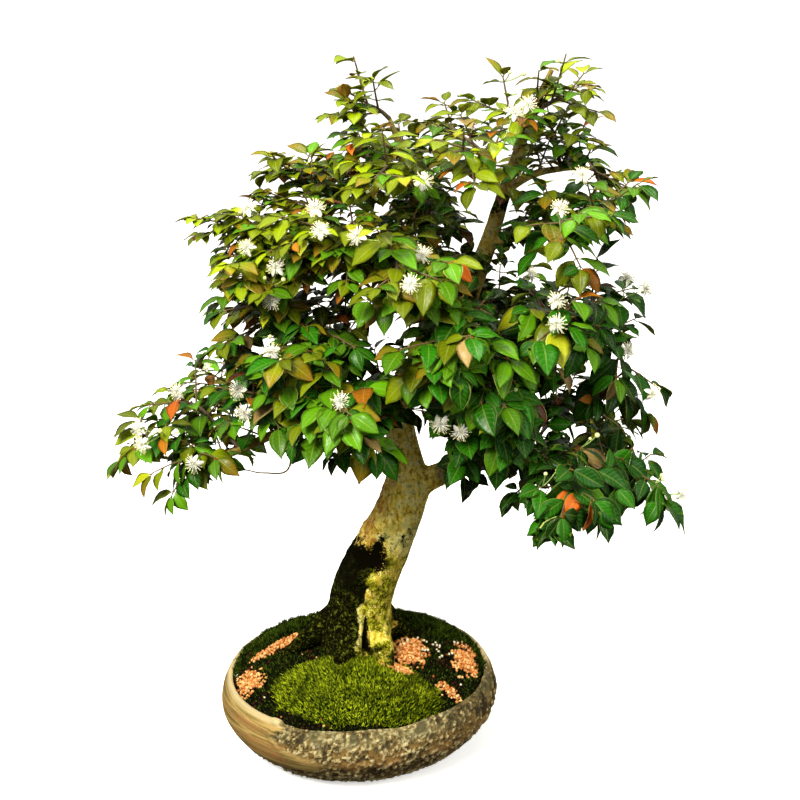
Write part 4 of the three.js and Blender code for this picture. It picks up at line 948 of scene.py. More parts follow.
def build_pot():
    """The bowl with its drain holes, and the clay's relief on the outside."""
    rings = [pot_ring(radius, 0, POT_SIDES) for radius in FOOT_RINGS]
    for radius, height in smooth_path(POT_OUTER + POT_RIM + POT_INNER, CURVE_STEPS):
        rings.append(pot_ring(radius, height, POT_SIDES))
    pot = object_of("clay_pot", *rings_mesh(rings, vec(0, 0, POT_FLOOR), vec(0, 0, 0)))
    cutters = []
    for x, y in DRAIN_HOLES:
        tube = tube_mesh([(x, y, -5), (x, y, 15)], [DRAIN_RADIUS] * 2, DRAIN_SIDES)
        cutters.append(object_of("drain_cutter", *tube))
        cut = pot.modifiers.new("drain", "BOOLEAN")
        cut.operation = "DIFFERENCE"
        cut.object = cutters[-1]
    apply_modifiers(pot)
    for cutter in cutters:
        bpy.data.objects.remove(cutter)
    mesh = pot.data
    points = mesh_points(mesh)
    normals = mesh_normals(mesh)
    numbers = np.zeros((len(points), 3))
    wall_reaches, wall_heights = np.array(POT_OUTER, float).T
    for i, (x, y, z) in enumerate(points):
        wall = np.interp(z, wall_heights, wall_reaches)
        outside = smooth_ramp(0.5, 5, z) * smooth_ramp(wall - 6, wall - 3, math.hypot(x, y))
        lift, *numbers[i] = clay_relief((x, y, z), math.atan2(y, x), outside)
        points[i] += normals[i] * lift
    set_points(mesh, points)
    store_numbers(mesh, "clay", numbers)
    mesh.materials.clear()
    mesh.materials.append(LOOKS["clay"])
    shade_smooth(mesh)
    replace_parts(settle(pot), "pot")


# Soil


def soil_height(x, y):
    """The height of the soil's dome, without its crumbs."""
    share = (x * x + y * y) / SOIL_RADIUS**2
    return SOIL_EDGE_HEIGHT + SOIL_EDGE_TILT * y / SOIL_RADIUS + SOIL_DOME_RISE * (1 - share)


def build_soil():
    """The dome with its crumbs, and the mass under it along the inside of the pot."""
    rings = [pot_ring(radius - 0.8, height + 2, SOIL_SIDES) for radius, height in SOIL_WALL]
    for share in np.linspace(1, 0.03, SOIL_RINGS):
        ring = pot_ring(share * (SOIL_RADIUS - 0.6), 0, SOIL_SIDES)
        for point in ring:
            lumps = noise.fractal(Vector(point) / 7, 0.6, 2.1, 4)
            point[2] = soil_height(point[0], point[1]) + SOIL_LUMP * lumps - 0.3
        rings.append(ring)
    points, faces = rings_mesh(rings, vec(0, 0, soil_height(0, 0)), vec(0, 0, 11.5))
    soil = object_of("planting_soil", points, faces)
    soil.data.materials.append(LOOKS["soil"])
    shade_smooth(soil.data)
    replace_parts(settle(soil), "soil")


# Wood


def trunk_axis(height):
    """The trunk's middle and radius at a height."""
    rows = WOOD["trunk"]
    heights = [row[2] for row in rows]
    return [np.interp(height, heights, [row[i] for row in rows]) for i in (0, 1, 3)]


def scar_share(x, z):
    """How far a place on the front lies from the middle of the old scar: 1 at its edge."""
    scar_x, scar_z, half_width, half_height = SCAR
    leaning = x - scar_x - SCAR_LEAN * (z - scar_z)
    return math.sqrt((leaning / half_width) ** 2 + ((z - scar_z) / half_height) ** 2)


def lobe_share(x, z):
    """How far a place lies from the middle of the lobe of bark in the scar: 1 at its edge."""
    lobe_x, lobe_z, half_width, half_height = LOBE
    return math.hypot((x - lobe_x - LOBE_LEAN * (z - lobe_z)) / half_width, (z - lobe_z) / half_height)


def slit_at(z):
    """How far down the slit between two roots a height lies, from 0 to 1, and the slit's x there."""
    part = np.clip((SLIT_TOP[1] - z) / (SLIT_TOP[1] - SLIT_FOOT[1]), 0, 1)
    return part, SLIT_TOP[0] + (SLIT_FOOT[0] - SLIT_TOP[0]) * part


def wood_relief(point):
    """How far the wood stands out at a point: fibres, burrs, the old scar and the slit between roots."""
    x, y, z = point
    middle_x, middle_y, radius = trunk_axis(z)
    place = Vector(point)
    reach = math.hypot(x - middle_x, y)
    near_trunk = smooth_ramp(270, 235, z) * smooth_ramp(radius + 26, radius + 8, reach)
    turn = math.atan2(y - middle_y, x - middle_x)
    flute = cloudy(math.cos(turn) * 2.2, math.sin(turn) * 2.2, z / 60)
    lift = near_trunk * (1.8 * flute + 1.1 * noise.fractal(place / 16, 0.7, 2.0, 3))
    lift += 0.35 * noise.fractal(place / 5, 0.6, 2.1, 3)
    share = scar_share(x, z)
    if y < middle_y:
        lift -= near_trunk * SCAR_DEPTH * smooth_ramp(1.05, 0.35, share)
        lift += near_trunk * 1.6 * smooth_ramp(0.5, 0, abs(share - 1.2))
        lift += near_trunk * 3.5 * smooth_ramp(1.1, 0.4, lobe_share(x, z))
    knot_distance = math.dist((x, y, z), KNOT)
    lift += 1.6 * smooth_ramp(KNOT_RADIUS * 1.6, KNOT_RADIUS * 0.8, knot_distance)
    lift -= 2.6 * smooth_ramp(KNOT_RADIUS * 0.6, 0, knot_distance)
    part, slit_x = slit_at(z)
    if y < middle_y and SLIT_FOOT[1] - 12 < z < SLIT_TOP[1] + 8:
        lift -= SLIT_DEPTH * (0.3 + 0.7 * part) * smooth_ramp(4.2, 0.8, abs(x - slit_x))
    return lift


def wood_growth(point):
    """Moss, lichen and reddish edge, then painted shade in the scar and slit (partly dark wood), pale patch
    and limb bark, at a point: each from 0 to 1.
    """
    place = Vector(point)
    warp = noise.noise_vector(place / 17) * 7 + noise.noise_vector(place / 6) * 2.5
    x, y, z = place + warp
    middle_x, middle_y, radius = trunk_axis(z)
    reach = math.hypot(x - middle_x, y - middle_y)
    side = (x - middle_x) / radius
    front = smooth_ramp(-0.3, 0.3, (middle_y - y) / radius)
    near = smooth_ramp(radius + 60, radius + 15, reach)
    shady = smooth_ramp(0.12, -0.3, side) * front + 0.75 * (1 - front)
    moss = near * smooth_ramp(*MOSS_BAND, z) * shady
    moss = max(moss, near * smooth_ramp(*ROOT_MOSS_BAND, z) * (smooth_ramp(26, 40, abs(x - 6)) + 0.35))
    lichen = near * smooth_ramp(*LICHEN_BAND, z) * smooth_ramp(-0.5, 0.0, side) * (0.3 + 0.7 * front)
    edge = smooth_ramp(-0.45, -0.9, side) * smooth_ramp(*RED_EDGE_BOTTOM, z) * smooth_ramp(*RED_EDGE_TOP, z)
    beside = smooth_ramp(-0.2, -0.6, side) * smooth_ramp(138, 160, z) * smooth_ramp(208, 192, z)
    scar = smooth_ramp(1.35, 0.65, scar_share(x, z)) * smooth_ramp(0.8, 1.1, lobe_share(x, z))
    part, slit_x = slit_at(z)
    width = 1.6 + 2.8 * part
    slit = smooth_ramp(width, width - 1.5, abs(0.6 * place[0] + 0.4 * x - slit_x))
    slit *= smooth_ramp(136, 126, z) * smooth_ramp(84, 94, z)
    knot_x, _, knot_z = KNOT
    eye = smooth_ramp(2.4, 1.0, abs(math.dist((place[0], z), (knot_x, knot_z)) - 4.5))
    # Painted shade, partly dark wood: the old scar, a band beside it at the left, the slit between the roots
    # and a ring round the knot go near black.
    hollow_shade = front * max(scar, 0.5 * beside, slit, 0.55 * eye)
    knot = smooth_ramp(17, 7, math.dist((x, z), (knot_x - 3, knot_z - 3)))
    ridge = smooth_ramp(7, 3, abs(x - slit_x + 8)) * smooth_ramp(146, 136, z) * smooth_ramp(94, 102, z)
    spot = smooth_ramp(5, 3, math.dist((x, z), LICHEN_SPOT))
    pale = front * max(1.3 * knot, ridge, spot)
    limb = smooth_ramp(radius + 4, radius + 16, reach) * smooth_ramp(*LIMB_BAND, z)
    limb = max(limb, smooth_ramp(*SMOOTH_TOP_BAND, z))
    above = 0.5 * limb * smooth_ramp(0.0, 0.4, noise.noise(place / 26))
    return max(moss * (z < MOSS_HIGHEST), above), lichen, near * edge, hollow_shade, pale, limb


def build_wood():
    """Trunk, roots and thick limbs grown together under one bark, and the thin limbs beyond them."""
    noise.seed_set(BARK_SEED)
    plain = (1, 1, 1, 1)
    skin = Shape()
    limbs = Shape()
    for name, rows in WOOD.items():
        path = smooth_path(rows, 5)
        radii = [row[3] for row in path]
        if name == "trunk":
            skin.add(*tube_mesh(path, radii, TRUNK_SIDES), plain)
            continue
        thick = [i for i, radius in enumerate(radii) if radius >= THICK_LIMB]
        if len(thick) > 3:
            skin.add(*tube_mesh([path[i] for i in thick], [radii[i] for i in thick], THICK_LIMB_SIDES), plain)
        limbs.add(*tube_mesh(path, [radius - LIMB_SET_IN for radius in radii], LIMB_SIDES), plain)
    for rows in ROOTS:
        path = smooth_path(rows, 5)
        skin.add(*tube_mesh(path, [row[3] for row in path], ROOT_SIDES), plain)
    top = smooth_path(WOOD["trunk"], 5)[BARE_TOP_FROM:]
    limbs.add(*tube_mesh(top, [row[3] - LIMB_SET_IN for row in top], TOP_SIDES), plain)
    work = object_of("bonsai_skin", np.concatenate(skin.points), skin.faces)
    shell = work.modifiers.new("shell", "REMESH")
    shell.mode = "VOXEL"
    shell.voxel_size = BARK_VOXEL * MM
    relax = work.modifiers.new("relax", "SMOOTH")
    relax.factor = 0.5
    relax.iterations = 6
    apply_modifiers(work)
    wood = Shape()
    wood.add(mesh_points(work.data), [tuple(face.vertices) for face in work.data.polygons], plain)
    bpy.data.objects.remove(work)
    wood.add(np.concatenate(limbs.points), limbs.faces, plain)
    tree = wood.piece("bonsai_wood", ["bark"], "bark")
    mesh = tree.data
    points = mesh_points(mesh)
    growth = np.array([wood_growth(point) for point in points])
    lifts = np.array([wood_relief(point) for point in points])
    set_points(mesh, points + mesh_normals(mesh) * lifts[:, None])
    mesh.attributes.remove(mesh.attributes["blade"])
    store_numbers(mesh, "growth", growth[:, :3])
    store_numbers(mesh, "marks", growth[:, 3:])
    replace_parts(tree, "tree_wood")


# Growth of a spray: a stem, side shoots along it, and pairs of leaves on each


def point_on_limb(name, share):
    """The place at a share of a limb, counted by its rows."""
    rows = WOOD[name]
    place = share * (len(rows) - 1)
    row = min(int(place), len(rows) - 2)
    start, end = (np.array(rows[i][:3], float) for i in (row, row + 1))
    return start + (end - start) * (place - row)


def along_path(path, steps, share):
    """The point at a share of a path, where steps gives the share of each of its points."""
    step = 0
    while step < len(steps) - 2 and share > steps[step + 1]:
        step += 1
    part = (share - steps[step]) / (steps[step + 1] - steps[step])
    return path[step] + (path[step + 1] - path[step]) * part


def heading_at(path, steps, share):
    """The way a path runs at a share of it."""
    reach = 0.08
    return unit(along_path(path, steps, share + reach) - along_path(path, steps, share - reach))


def sideways(along):
    """A level direction at right angles to the given one."""
    level = np.cross(UP, along)
    if np.linalg.norm(level) < 0.05:
        level = vec(0, 1, 0)
    return unit(level)


def stem_path(base, tip, droop, draw):
    """A stem that arches up and wanders a little on its way to the tip."""
    reach = tip - base
    length = np.linalg.norm(reach)
    side = sideways(unit(reach))
    phase = 2 * math.pi * draw()
    path = []
    for t in STEM_STEPS:
        rise = STEM_RISE * (1 + droop) * length * math.sin(math.pi * t)
        wander = STEM_WIGGLE * length * math.sin(math.pi * t) * math.sin(2 * math.pi * t + phase)
        path.append(base + reach * t + UP * rise + side * wander)
    return path


def leaf_slot(node, along, side, terminal, pair_turn, leaf_length, droop, draw):
    """One leaf: where it is rooted, the way it points and the way its face looks."""
    size = leaf_length * (0.72 + 0.46 * draw()) * (0.86 if terminal else 1)
    yaw = 0.35 * (draw() - 0.5)
    hang = droop * (0.5 + draw()) + 0.1
    tilt_a = draw() - 0.5
    tilt_b = draw() - 0.5
    level = sideways(along)
    over = np.cross(along, level)
    lateral = level * math.cos(pair_turn) + over * math.sin(pair_turn)
    forward = (0.95 if terminal else 0.5) + yaw
    direction = unit(along * forward + lateral * side * (0.55 if terminal else 0.9) - UP * hang)
    outward = unit(node - CROWN_MIDDLE)
    face = UP * (1 - 0.35 * droop) + outward * (0.25 + 0.45 * droop)
    face = face + level * 0.9 * tilt_a + along * 0.7 * tilt_b
    face = unit(face - direction * np.dot(face, direction))
    return {"node": node, "direction": direction, "face": face, "size": size, "terminal": terminal}


def leaves_along(path, steps, start, length, leaf_length, droop, draw):
    """Leaf pairs from one share of a path to its end."""
    slots = []
    spacing = leaf_length * LEAF_SPACING_SHARE
    pairs = max(1, math.floor((length - FIRST_LEAF_AT) / spacing) + 1)
    for pair in range(pairs + 1):
        terminal = pair == pairs
        share = 1 - 1 / length if terminal else min(0.9, (FIRST_LEAF_AT + pair * spacing) / length)
        place = start + (1 - start) * share
        node = along_path(path, steps, place)
        along = heading_at(path, steps, place)
        pair_turn = (0.55 if pair % 2 else -0.15) + 0.5 * (draw() - 0.5)
        for side in (-1, 1):
            slots.append(leaf_slot(node, along, side, terminal, pair_turn, leaf_length, droop, draw))
    return slots


def grow_spray(row, index):
    """A spray as lines: its stem, its shoots, and a slot for each leaf."""
    limb, share, x, y, z, leaf_length, droop = row
    draw = seeded_draws(GROWTH_SEED + 97 * index)
    stem = stem_path(point_on_limb(limb, share), vec(x, y, z), droop, draw)
    length = np.linalg.norm(stem[-1] - stem[0])
    count = min(max(math.floor(length / SHOOT_SPACING + 0.5), SHOOTS_LEAST), SHOOTS_MOST)
    first_turn = 2 * math.pi * draw()
    shoots = []
    slots = []
    for k in range(count):
        t = BARE_SHARE + (LAST_SHOOT_AT - BARE_SHARE) * (k + 0.5) / count
        start = along_path(stem, STEM_STEPS, t)
        along = heading_at(stem, STEM_STEPS, t)
        level = sideways(along)
        over = np.cross(along, level)
        turn = first_turn + k * SHOOT_TURN
        lateral = unit(level * math.cos(turn) + over * SHOOT_FLATNESS * math.sin(turn))
        angle = SHOOT_ANGLE + 0.3 * (draw() - 0.5)
        direction = unit(along * math.cos(angle) + lateral * math.sin(angle))
        reach = SHOOT_REACH * (0.7 + 0.5 * draw()) * (1.1 - 0.4 * t)
        rise = UP * reach * (0.12 - 0.3 * droop)
        path = [start + direction * reach * s + rise * s * s for s in SHOOT_STEPS]
        shoots.append(path)
        slots += leaves_along(path, SHOOT_STEPS, 0, reach, leaf_length, droop, draw)
    slots += leaves_along(stem, STEM_STEPS, 0.5, length / 2, leaf_length, droop, draw)
    return {"stem": stem, "shoots": shoots, "slots": slots}


def grow_inner_twigs(name, index):
    """Leafy twigs all along a limb, which fill the inside of the crown."""
    draw = seeded_draws(INNER_SEED + 53 * index)
    shoots = []
    slots = []
    for share in TRUNK_INNER_SHARES if name == "trunk" else INNER_SHARES:
        for turn in range(INNER_TWIGS_AT_EACH):
            base = point_on_limb(name, min(share + 0.12 * (draw() - 0.5), 1))
            wander = unit(vec(draw() - 0.5, draw() - 0.5, draw() - 0.1))
            direction = unit(unit(base - CROWN_MIDDLE) * 0.45 + wander)
            reach = INNER_REACH * (0.7 + 0.6 * draw())
            path = [base + direction * reach * s - UP * reach * 0.08 * s * s for s in SHOOT_STEPS]
            shoots.append(path)
            slots += leaves_along(path, SHOOT_STEPS, 0, reach, INNER_LEAF, INNER_DROOP, draw)
    return {"shoots": shoots, "slots": slots}


def nearest_twig(point, sprays):
    """The nearest place to a point on any stem or main shoot."""
    best = None
    for spray in sprays:
        places = [along_path(spray["stem"], STEM_STEPS, share) for share in (0.6, 0.9)]
        for k in MAIN_SHOOTS:
            places += [along_path(spray["shoots"][k], SHOOT_STEPS, share) for share in (0.35, 0.6, 0.85)]
        for place in places:
            distance = np.linalg.norm(place - point)
            if best is None or distance < best[0]:
                best = (distance, place)
    return best[1]


def bunch_places(row, seed, sprays):
    """A bunch fans out round the way from the twig to the wanted place."""
    x, y, z, count = row[:4]
    target = vec(x, y, z)
    place = nearest_twig(target, sprays)
    draw = seeded_draws(seed)
    reach = target - place
    length = min(max(np.linalg.norm(reach), PEDICEL_SHORTEST), PEDICEL_LONGEST)
    outward = unit(target - CROWN_MIDDLE)
    heading = unit(unit(reach) + outward * 0.4)
    centre = place + heading * length
    level = sideways(heading)
    over = np.cross(heading, level)
    first_turn = 2 * math.pi * draw()
    flowers = []
    for k in range(count):
        turn = first_turn + 2 * math.pi * k / count
        spread = BLOOM_SPREAD if count > 1 else 0
        middle = centre + level * spread * math.cos(turn) + over * spread * math.sin(turn)
        axis = unit(unit(middle - place) * 0.6 + outward * 0.8 + UP * 0.2)
        flowers.append({"middle": middle, "axis": axis, "turn": math.pi * draw()})
    return {"place": place, "fork": place + heading * FORK_AT, "flowers": flowers}


def near_flower(slot, bunches):
    """Whether a leaf would cover a flower."""
    middle = slot["node"] + slot["direction"] * slot["size"] * 0.5
    for bunch in bunches:
        for flower in bunch["flowers"]:
            shade = flower["middle"] + flower["axis"] * BLOOM_CLEARANCE * 0.6
            if min(math.dist(middle, flower["middle"]), math.dist(middle, shade)) < BLOOM_CLEARANCE:
                return True
    return False


# Leaves


def leaf_template(outline, top_across):
    """For one closed leaf: share along, across, width and layer of each point, then faces and their looks."""
    rows = [(0.0, 0.0, 0.0, 0)]
    top = []
    bottom = []
    for share, width in outline:
        margins = {}
        top_row = []
        bottom_row = []
        for across in top_across:
            margin = abs(across) == 1
            if margin:
                margins[across] = len(rows)
            top_row.append(len(rows))
            rows.append((share, across, width, 0 if margin else 1))
        for across in HALVES_ACROSS:
            if across in margins:
                bottom_row.append(margins[across])
            else:
                bottom_row.append(len(rows))
                rows.append((share, across, width, -1))
        top.append(top_row)
        bottom.append(bottom_row)
    tip = len(rows)
    rows.append((1.0, 0.0, 0.0, 0))
    faces = []
    looks = []
    for grid, look in ((top, 0), (bottom, 1)):
        made = []
        for c in range(len(grid[0]) - 1):
            made.append((0, grid[0][c], grid[0][c + 1]))
            made.append((tip, grid[-1][c + 1], grid[-1][c]))
            for r in range(len(grid) - 1):
                made.append((grid[r][c], grid[r + 1][c], grid[r + 1][c + 1], grid[r][c + 1]))
        faces += made if look == 0 else [face[::-1] for face in made]
        looks += [look] * len(made)
    return np.array(rows), faces, looks


OUTER_BLADE = leaf_template(LEAF_OUTLINE, LEAF_ACROSS)
INNER_BLADE = leaf_template(INNER_LEAF_OUTLINE, HALVES_ACROSS)
LEAFY = ["leaf_face", "leaf_back", "twig"]
TWIG_LOOK = LEAFY.index("twig")

LEAF_TONES = {
    "deep": colour(8, 50, 4),
    "green": colour(24, 80, 4),
    "fresh": colour(62, 108, 6),
    "olive": colour(80, 94, 2),
    "lime": colour(112, 132, 4),
    "yellow": colour(150, 160, 24),
    "bronze": colour(128, 78, 14),
    "orange": colour(172, 84, 26),
    "maroon": colour(70, 26, 16),
    "taupe": colour(122, 104, 70),
}
# A leaf with less painted light than the limit has the tone, and a leaf whose chance is above the least has a
# rare one.
PAINTED_LIGHT_TONES = ((0.22, "deep"), (0.46, "green"), (0.62, "fresh"), (0.86, "olive"))
RARE_TONES = ((0.988, "maroon"), (0.976, "taupe"), (0.968, "yellow"))
# How strongly a leaf's red, green and blue show.
LEAF_GAIN = np.array([1.14, 1.05, 0.88])


def leaf_tone(slot, wild):
    """A leaf's colour: painted light makes it lime high, at the left and outside, deep green low, at the
    right and inside; bronze when young.
    """
    x, _, z = slot["node"]
    reach = np.linalg.norm((slot["node"] - CROWN_MIDDLE) / CROWN_HALF_SIZE)
    # Painted light, with a random share: more high up, at the left and at the outside of the crown.
    painted_light = 0.42 + (z - 380) / 520 - (x - 60) / 900 + 0.35 * (reach - 0.7) + 0.5 * (wild.random() - 0.5)
    young = 0.04 + (0.22 if slot["terminal"] else 0) * max(0, (z - 300) / 280)
    chance = wild.random()
    if chance < young * 0.4:
        return "orange" if wild.random() < 0.25 else "bronze"
    for least, name in RARE_TONES:
        if chance > least:
            return name
    for limit, name in PAINTED_LIGHT_TONES:
        if painted_light < limit:
            return name
    return "lime"


def levelled(slot, wild):
    """A leaf's heading and face: the leaves lie level high and at the left, and hang low and at the right."""
    x, _, z = slot["node"]
    direction, face = slot["direction"], slot["face"]
    level = min(max(0.3 + (z - 330) / 300 - (x - 60) / 600, 0.1), 0.9) * wild.random() ** 0.5
    direction = unit(direction - UP * min(direction[2], 0) * level)
    face = face * (1 - level) + UP * level
    return direction, unit(face - direction * np.dot(face, direction)), level


def add_leaf(shape, slot, wild, name=None, blade=OUTER_BLADE):
    """One blade, folded along its midrib, arched and a little twisted, on its petiole."""
    direction, face, level = levelled(slot, wild)
    size = slot["size"] * (1 - 0.14 * level)
    side = np.cross(face, direction)
    rows, faces, looks = blade
    share, across, width, layer = rows.T
    name = name or leaf_tone(slot, wild)
    young = name in ("orange", "bronze", "maroon")
    length = size - PETIOLE_LENGTH
    half = LEAF_HALF_WIDTH * size * (0.95 + 0.2 * wild.random()) * (0.85 if young else 1)
    fold = LEAF_FOLD + 0.26 * (wild.random() - 0.35) + (0.12 if young else 0)
    arch = LEAF_ARCH * (0.5 + 1.2 * wild.random())
    curve = 0.12 * (wild.random() - 0.5)
    twist = 0.7 * (wild.random() - 0.5)
    phase = 6 * wild.random()
    wave = 0.035 * half * wild.random()
    out = across * width * half
    lift = fold * np.abs(out) * (1.2 - 0.35 * np.abs(across))
    lift = lift - arch * size * share**2 + 0.03 * size * np.sin(math.pi * share)
    lift = lift + wave * np.sin(11 * share + phase + across) * np.abs(across) * 3
    lift = lift + layer * LEAF_THICKNESS / 2
    turn = twist * share
    spread = out * np.cos(turn) - lift * np.sin(turn) + curve * size * share**2
    lift = lift * np.cos(turn) + out * np.sin(turn)
    root = slot["node"] + direction * PETIOLE_LENGTH
    points = root + np.outer(share * length, direction) + np.outer(spread, side) + np.outer(lift, face)
    depth = np.linalg.norm((root - CROWN_MIDDLE) / CROWN_HALF_SIZE)
    shade = 0.7 + 0.85 * wild.random() ** 1.5
    # Painted shade: leaves deep inside the crown are darker, down to INSIDE_SHADE at its middle.
    shade *= INSIDE_SHADE + (1 - INSIDE_SHADE) * smooth_ramp(0.35, 0.8, depth)
    tone = np.array(LEAF_TONES[name]) * [*LEAF_GAIN * shade, 1]
    if name in ("olive", "lime") and wild.random() < 0.24:
        blush = (0.75 * share**1.5)[:, None]
        tone = tone * (1 - blush) + np.array(LEAF_TONES["bronze"]) * blush
    pale_edge = np.full(len(share), 0.8 if name == "yellow" or wild.random() < 0.06 else 0.16)
    shape.add(points, faces, tone, np.stack([share, across, pale_edge], axis=1), looks)
    petiole = [slot["node"], root + direction * 0.8]
    stalk = LEAF_TONES["bronze"] if wild.random() < 0.3 else LEAF_TONES["olive"]
    shape.add(*tube_mesh(petiole, [PETIOLE_RADIUS] * 2, 3), stalk, None, TWIG_LOOK)


TWIG_BROWN = colour(58, 44, 26)
TWIG_RED = colour(84, 62, 30)


def by_bare_trunk(place):
    """Whether a place lies beside the part of the trunk that carries no leaves."""
    x, y, z = place
    half_x, half_y = BARE_TRUNK_HALF
    return z < BARE_TRUNK_TOP and abs(x - BARE_TRUNK_X) < half_x and abs(y) < half_y


def inside_crown(slot):
    """Whether a leaf stays within the room that the whole plant takes up, and off the bare trunk."""
    if by_bare_trunk(slot["node"]):
        return False
    tip = slot["node"] + slot["direction"] * slot["size"]
    return bool(np.all(tip > CROWN_LOWEST) and np.all(tip < CROWN_HIGHEST))


def add_shoots_and_leaves(shape, growth, bunches, wild, blade=OUTER_BLADE):
    """Shoots with their leaves. Where the crown is dense, many leaves get a second one beside them."""
    for path in growth["shoots"]:
        if by_bare_trunk(path[-1]):
            continue
        shoot = smooth_path(path, 3)
        radii = np.linspace(*SHOOT_RADII, len(shoot))
        shape.add(*tube_mesh(shoot, radii, SHOOT_SIDES), TWIG_RED, None, TWIG_LOOK)
    for slot in growth["slots"]:
        x, _, z = slot["node"]
        sparse = x > THIN_FROM[0] and z > THIN_FROM[1] and wild.random() < THIN_SHARE
        if sparse or not inside_crown(slot) or near_flower(slot, bunches):
            continue
        add_leaf(shape, slot, wild, None, blade)
        high_left = smooth_ramp(25, -25, x) * smooth_ramp(370, 405, z)
        middle = smooth_ramp(95, 50, abs(x - 50)) * smooth_ramp(300, 340, z) * smooth_ramp(480, 440, z)
        if wild.random() < 0.1 + 0.9 * high_left + 0.5 * middle:
            swing = (1 if wild.random() < 0.5 else -1) * (0.8 + 0.9 * wild.random())
            side = np.cross(slot["face"], slot["direction"])
            heading = unit(slot["direction"] * math.cos(swing) + side * math.sin(swing))
            second = {**slot, "direction": heading, "size": slot["size"] * (0.6 + 0.3 * wild.random())}
            if inside_crown(second):
                add_leaf(shape, second, wild, None, blade)


def fuller(row):
    """Whether the crown is so full at a spray that a second twig grows along it."""
    _, _, x, _, z, _, _ = row
    left = x < FULL_LEFT_TO_X and z > FULL_LEFT_FROM_Z
    return left or (FULL_MIDDLE_X[0] < x < FULL_MIDDLE_X[1] and FULL_MIDDLE_Z[0] < z < FULL_MIDDLE_Z[1])


def build_sprays(sprays, bunches):
    """A leafy twig for each row, with a second twig along it where the crown is full."""
    for index, (row, spray) in enumerate(zip(SPRAYS, sprays)):
        wild = random.Random(SPRAY_SEED + index)
        shape = Shape()
        twigs = [spray]
        if fuller(row):
            limb, share, *tip, leaf_length, droop = row
            tip = [place + step for place, step in zip(tip, SECOND_TWIG)]
            twigs.append(grow_spray([limb, share, *tip, leaf_length, droop], index + len(SPRAYS)))
        for twig in twigs:
            stem = smooth_path(twig["stem"], 5)
            radii = np.linspace(*STEM_RADII, len(stem))
            shape.add(*tube_mesh(stem, radii, STEM_SIDES), TWIG_BROWN, None, TWIG_LOOK)
            add_shoots_and_leaves(shape, twig, bunches, wild)
        number = f"{index + 1:02d}"
        piece = shape.piece(f"leafy_spray_{number}", LEAFY, "leaf")
        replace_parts(piece, f"spray_{number}")


def build_bare_twig(sprays):
    """A long thin twig under the left limbs, with two reddish leaves."""
    wild = random.Random(BARE_TWIG_SEED)
    shape = Shape()
    start = nearest_twig(vec(*BARE_TWIG[0]), sprays)
    path = smooth_path([start, *(vec(*place) for place in BARE_TWIG)], 6)
    shape.add(*tube_mesh(path, np.linspace(*BARE_TWIG_RADII, len(path)), 5), TWIG_RED, None, TWIG_LOOK)
    for k, name in ((-9, "maroon"), (-7, "bronze")):
        heading = unit(path[k] - path[k - 2] + UP * 0.25)
        slot = {"node": path[k], "direction": heading, "face": unit(UP - heading * heading[2]), "size": 19}
        add_leaf(shape, slot, wild, name)
    shape.piece("bare_twig", LEAFY, "leaf")


def build_inner_twigs(bunches):
    """Leafy twigs inside the crown, one piece for each limb."""
    for index, name in enumerate(WOOD):
        wild = random.Random(INNER_LEAF_SEED + index)
        shape = Shape()
        add_shoots_and_leaves(shape, grow_inner_twigs(name, index), bunches, wild, INNER_BLADE)
        shape.piece(f"inner_leaves_{index + 1:02d}", LEAFY, "leaf")


# Flowers and buds

PETAL_WHITE = colour(246, 246, 238)
ANTHER_CREAM = colour(240, 226, 150)
SEPAL_GREEN = colour(136, 160, 60)
BUD_GREEN = colour(204, 214, 140)


def add_petal(shape, centre, axis, out, side, length, half_width, tone, bend):
    """A thin closed petal that opens outwards and bends back."""
    points = []
    for share, width in PETAL_ROWS:
        reach = length * share
        rise = length * (0.1 + 0.35 * share - bend * share**2)
        for across in (-1, 0, 1):
            cup = 0.25 * half_width * across**2 * width
            for layer in (0.12, -0.12):
                place = centre + out * reach + side * across * half_width * width
                points.append(place + axis * (rise + cup + layer))
    faces = []
    last = len(PETAL_ROWS) - 1
    for r in range(last):
        low, high = r * 6, r * 6 + 6
        for c in (0, 2):
            faces.append((low + c, high + c, high + c + 2, low + c + 2))
            faces.append((low + c + 3, high + c + 3, high + c + 1, low + c + 1))
        faces.append((low, low + 1, high + 1, high))
        faces.append((low + 4, high + 4, high + 5, low + 5))
    for row, flip in ((0, False), (last * 6, True)):
        for c in (0, 2):
            face = (row + c, row + c + 2, row + c + 3, row + c + 1)
            faces.append(face[::-1] if flip else face)
    shape.add(points, faces, tone)


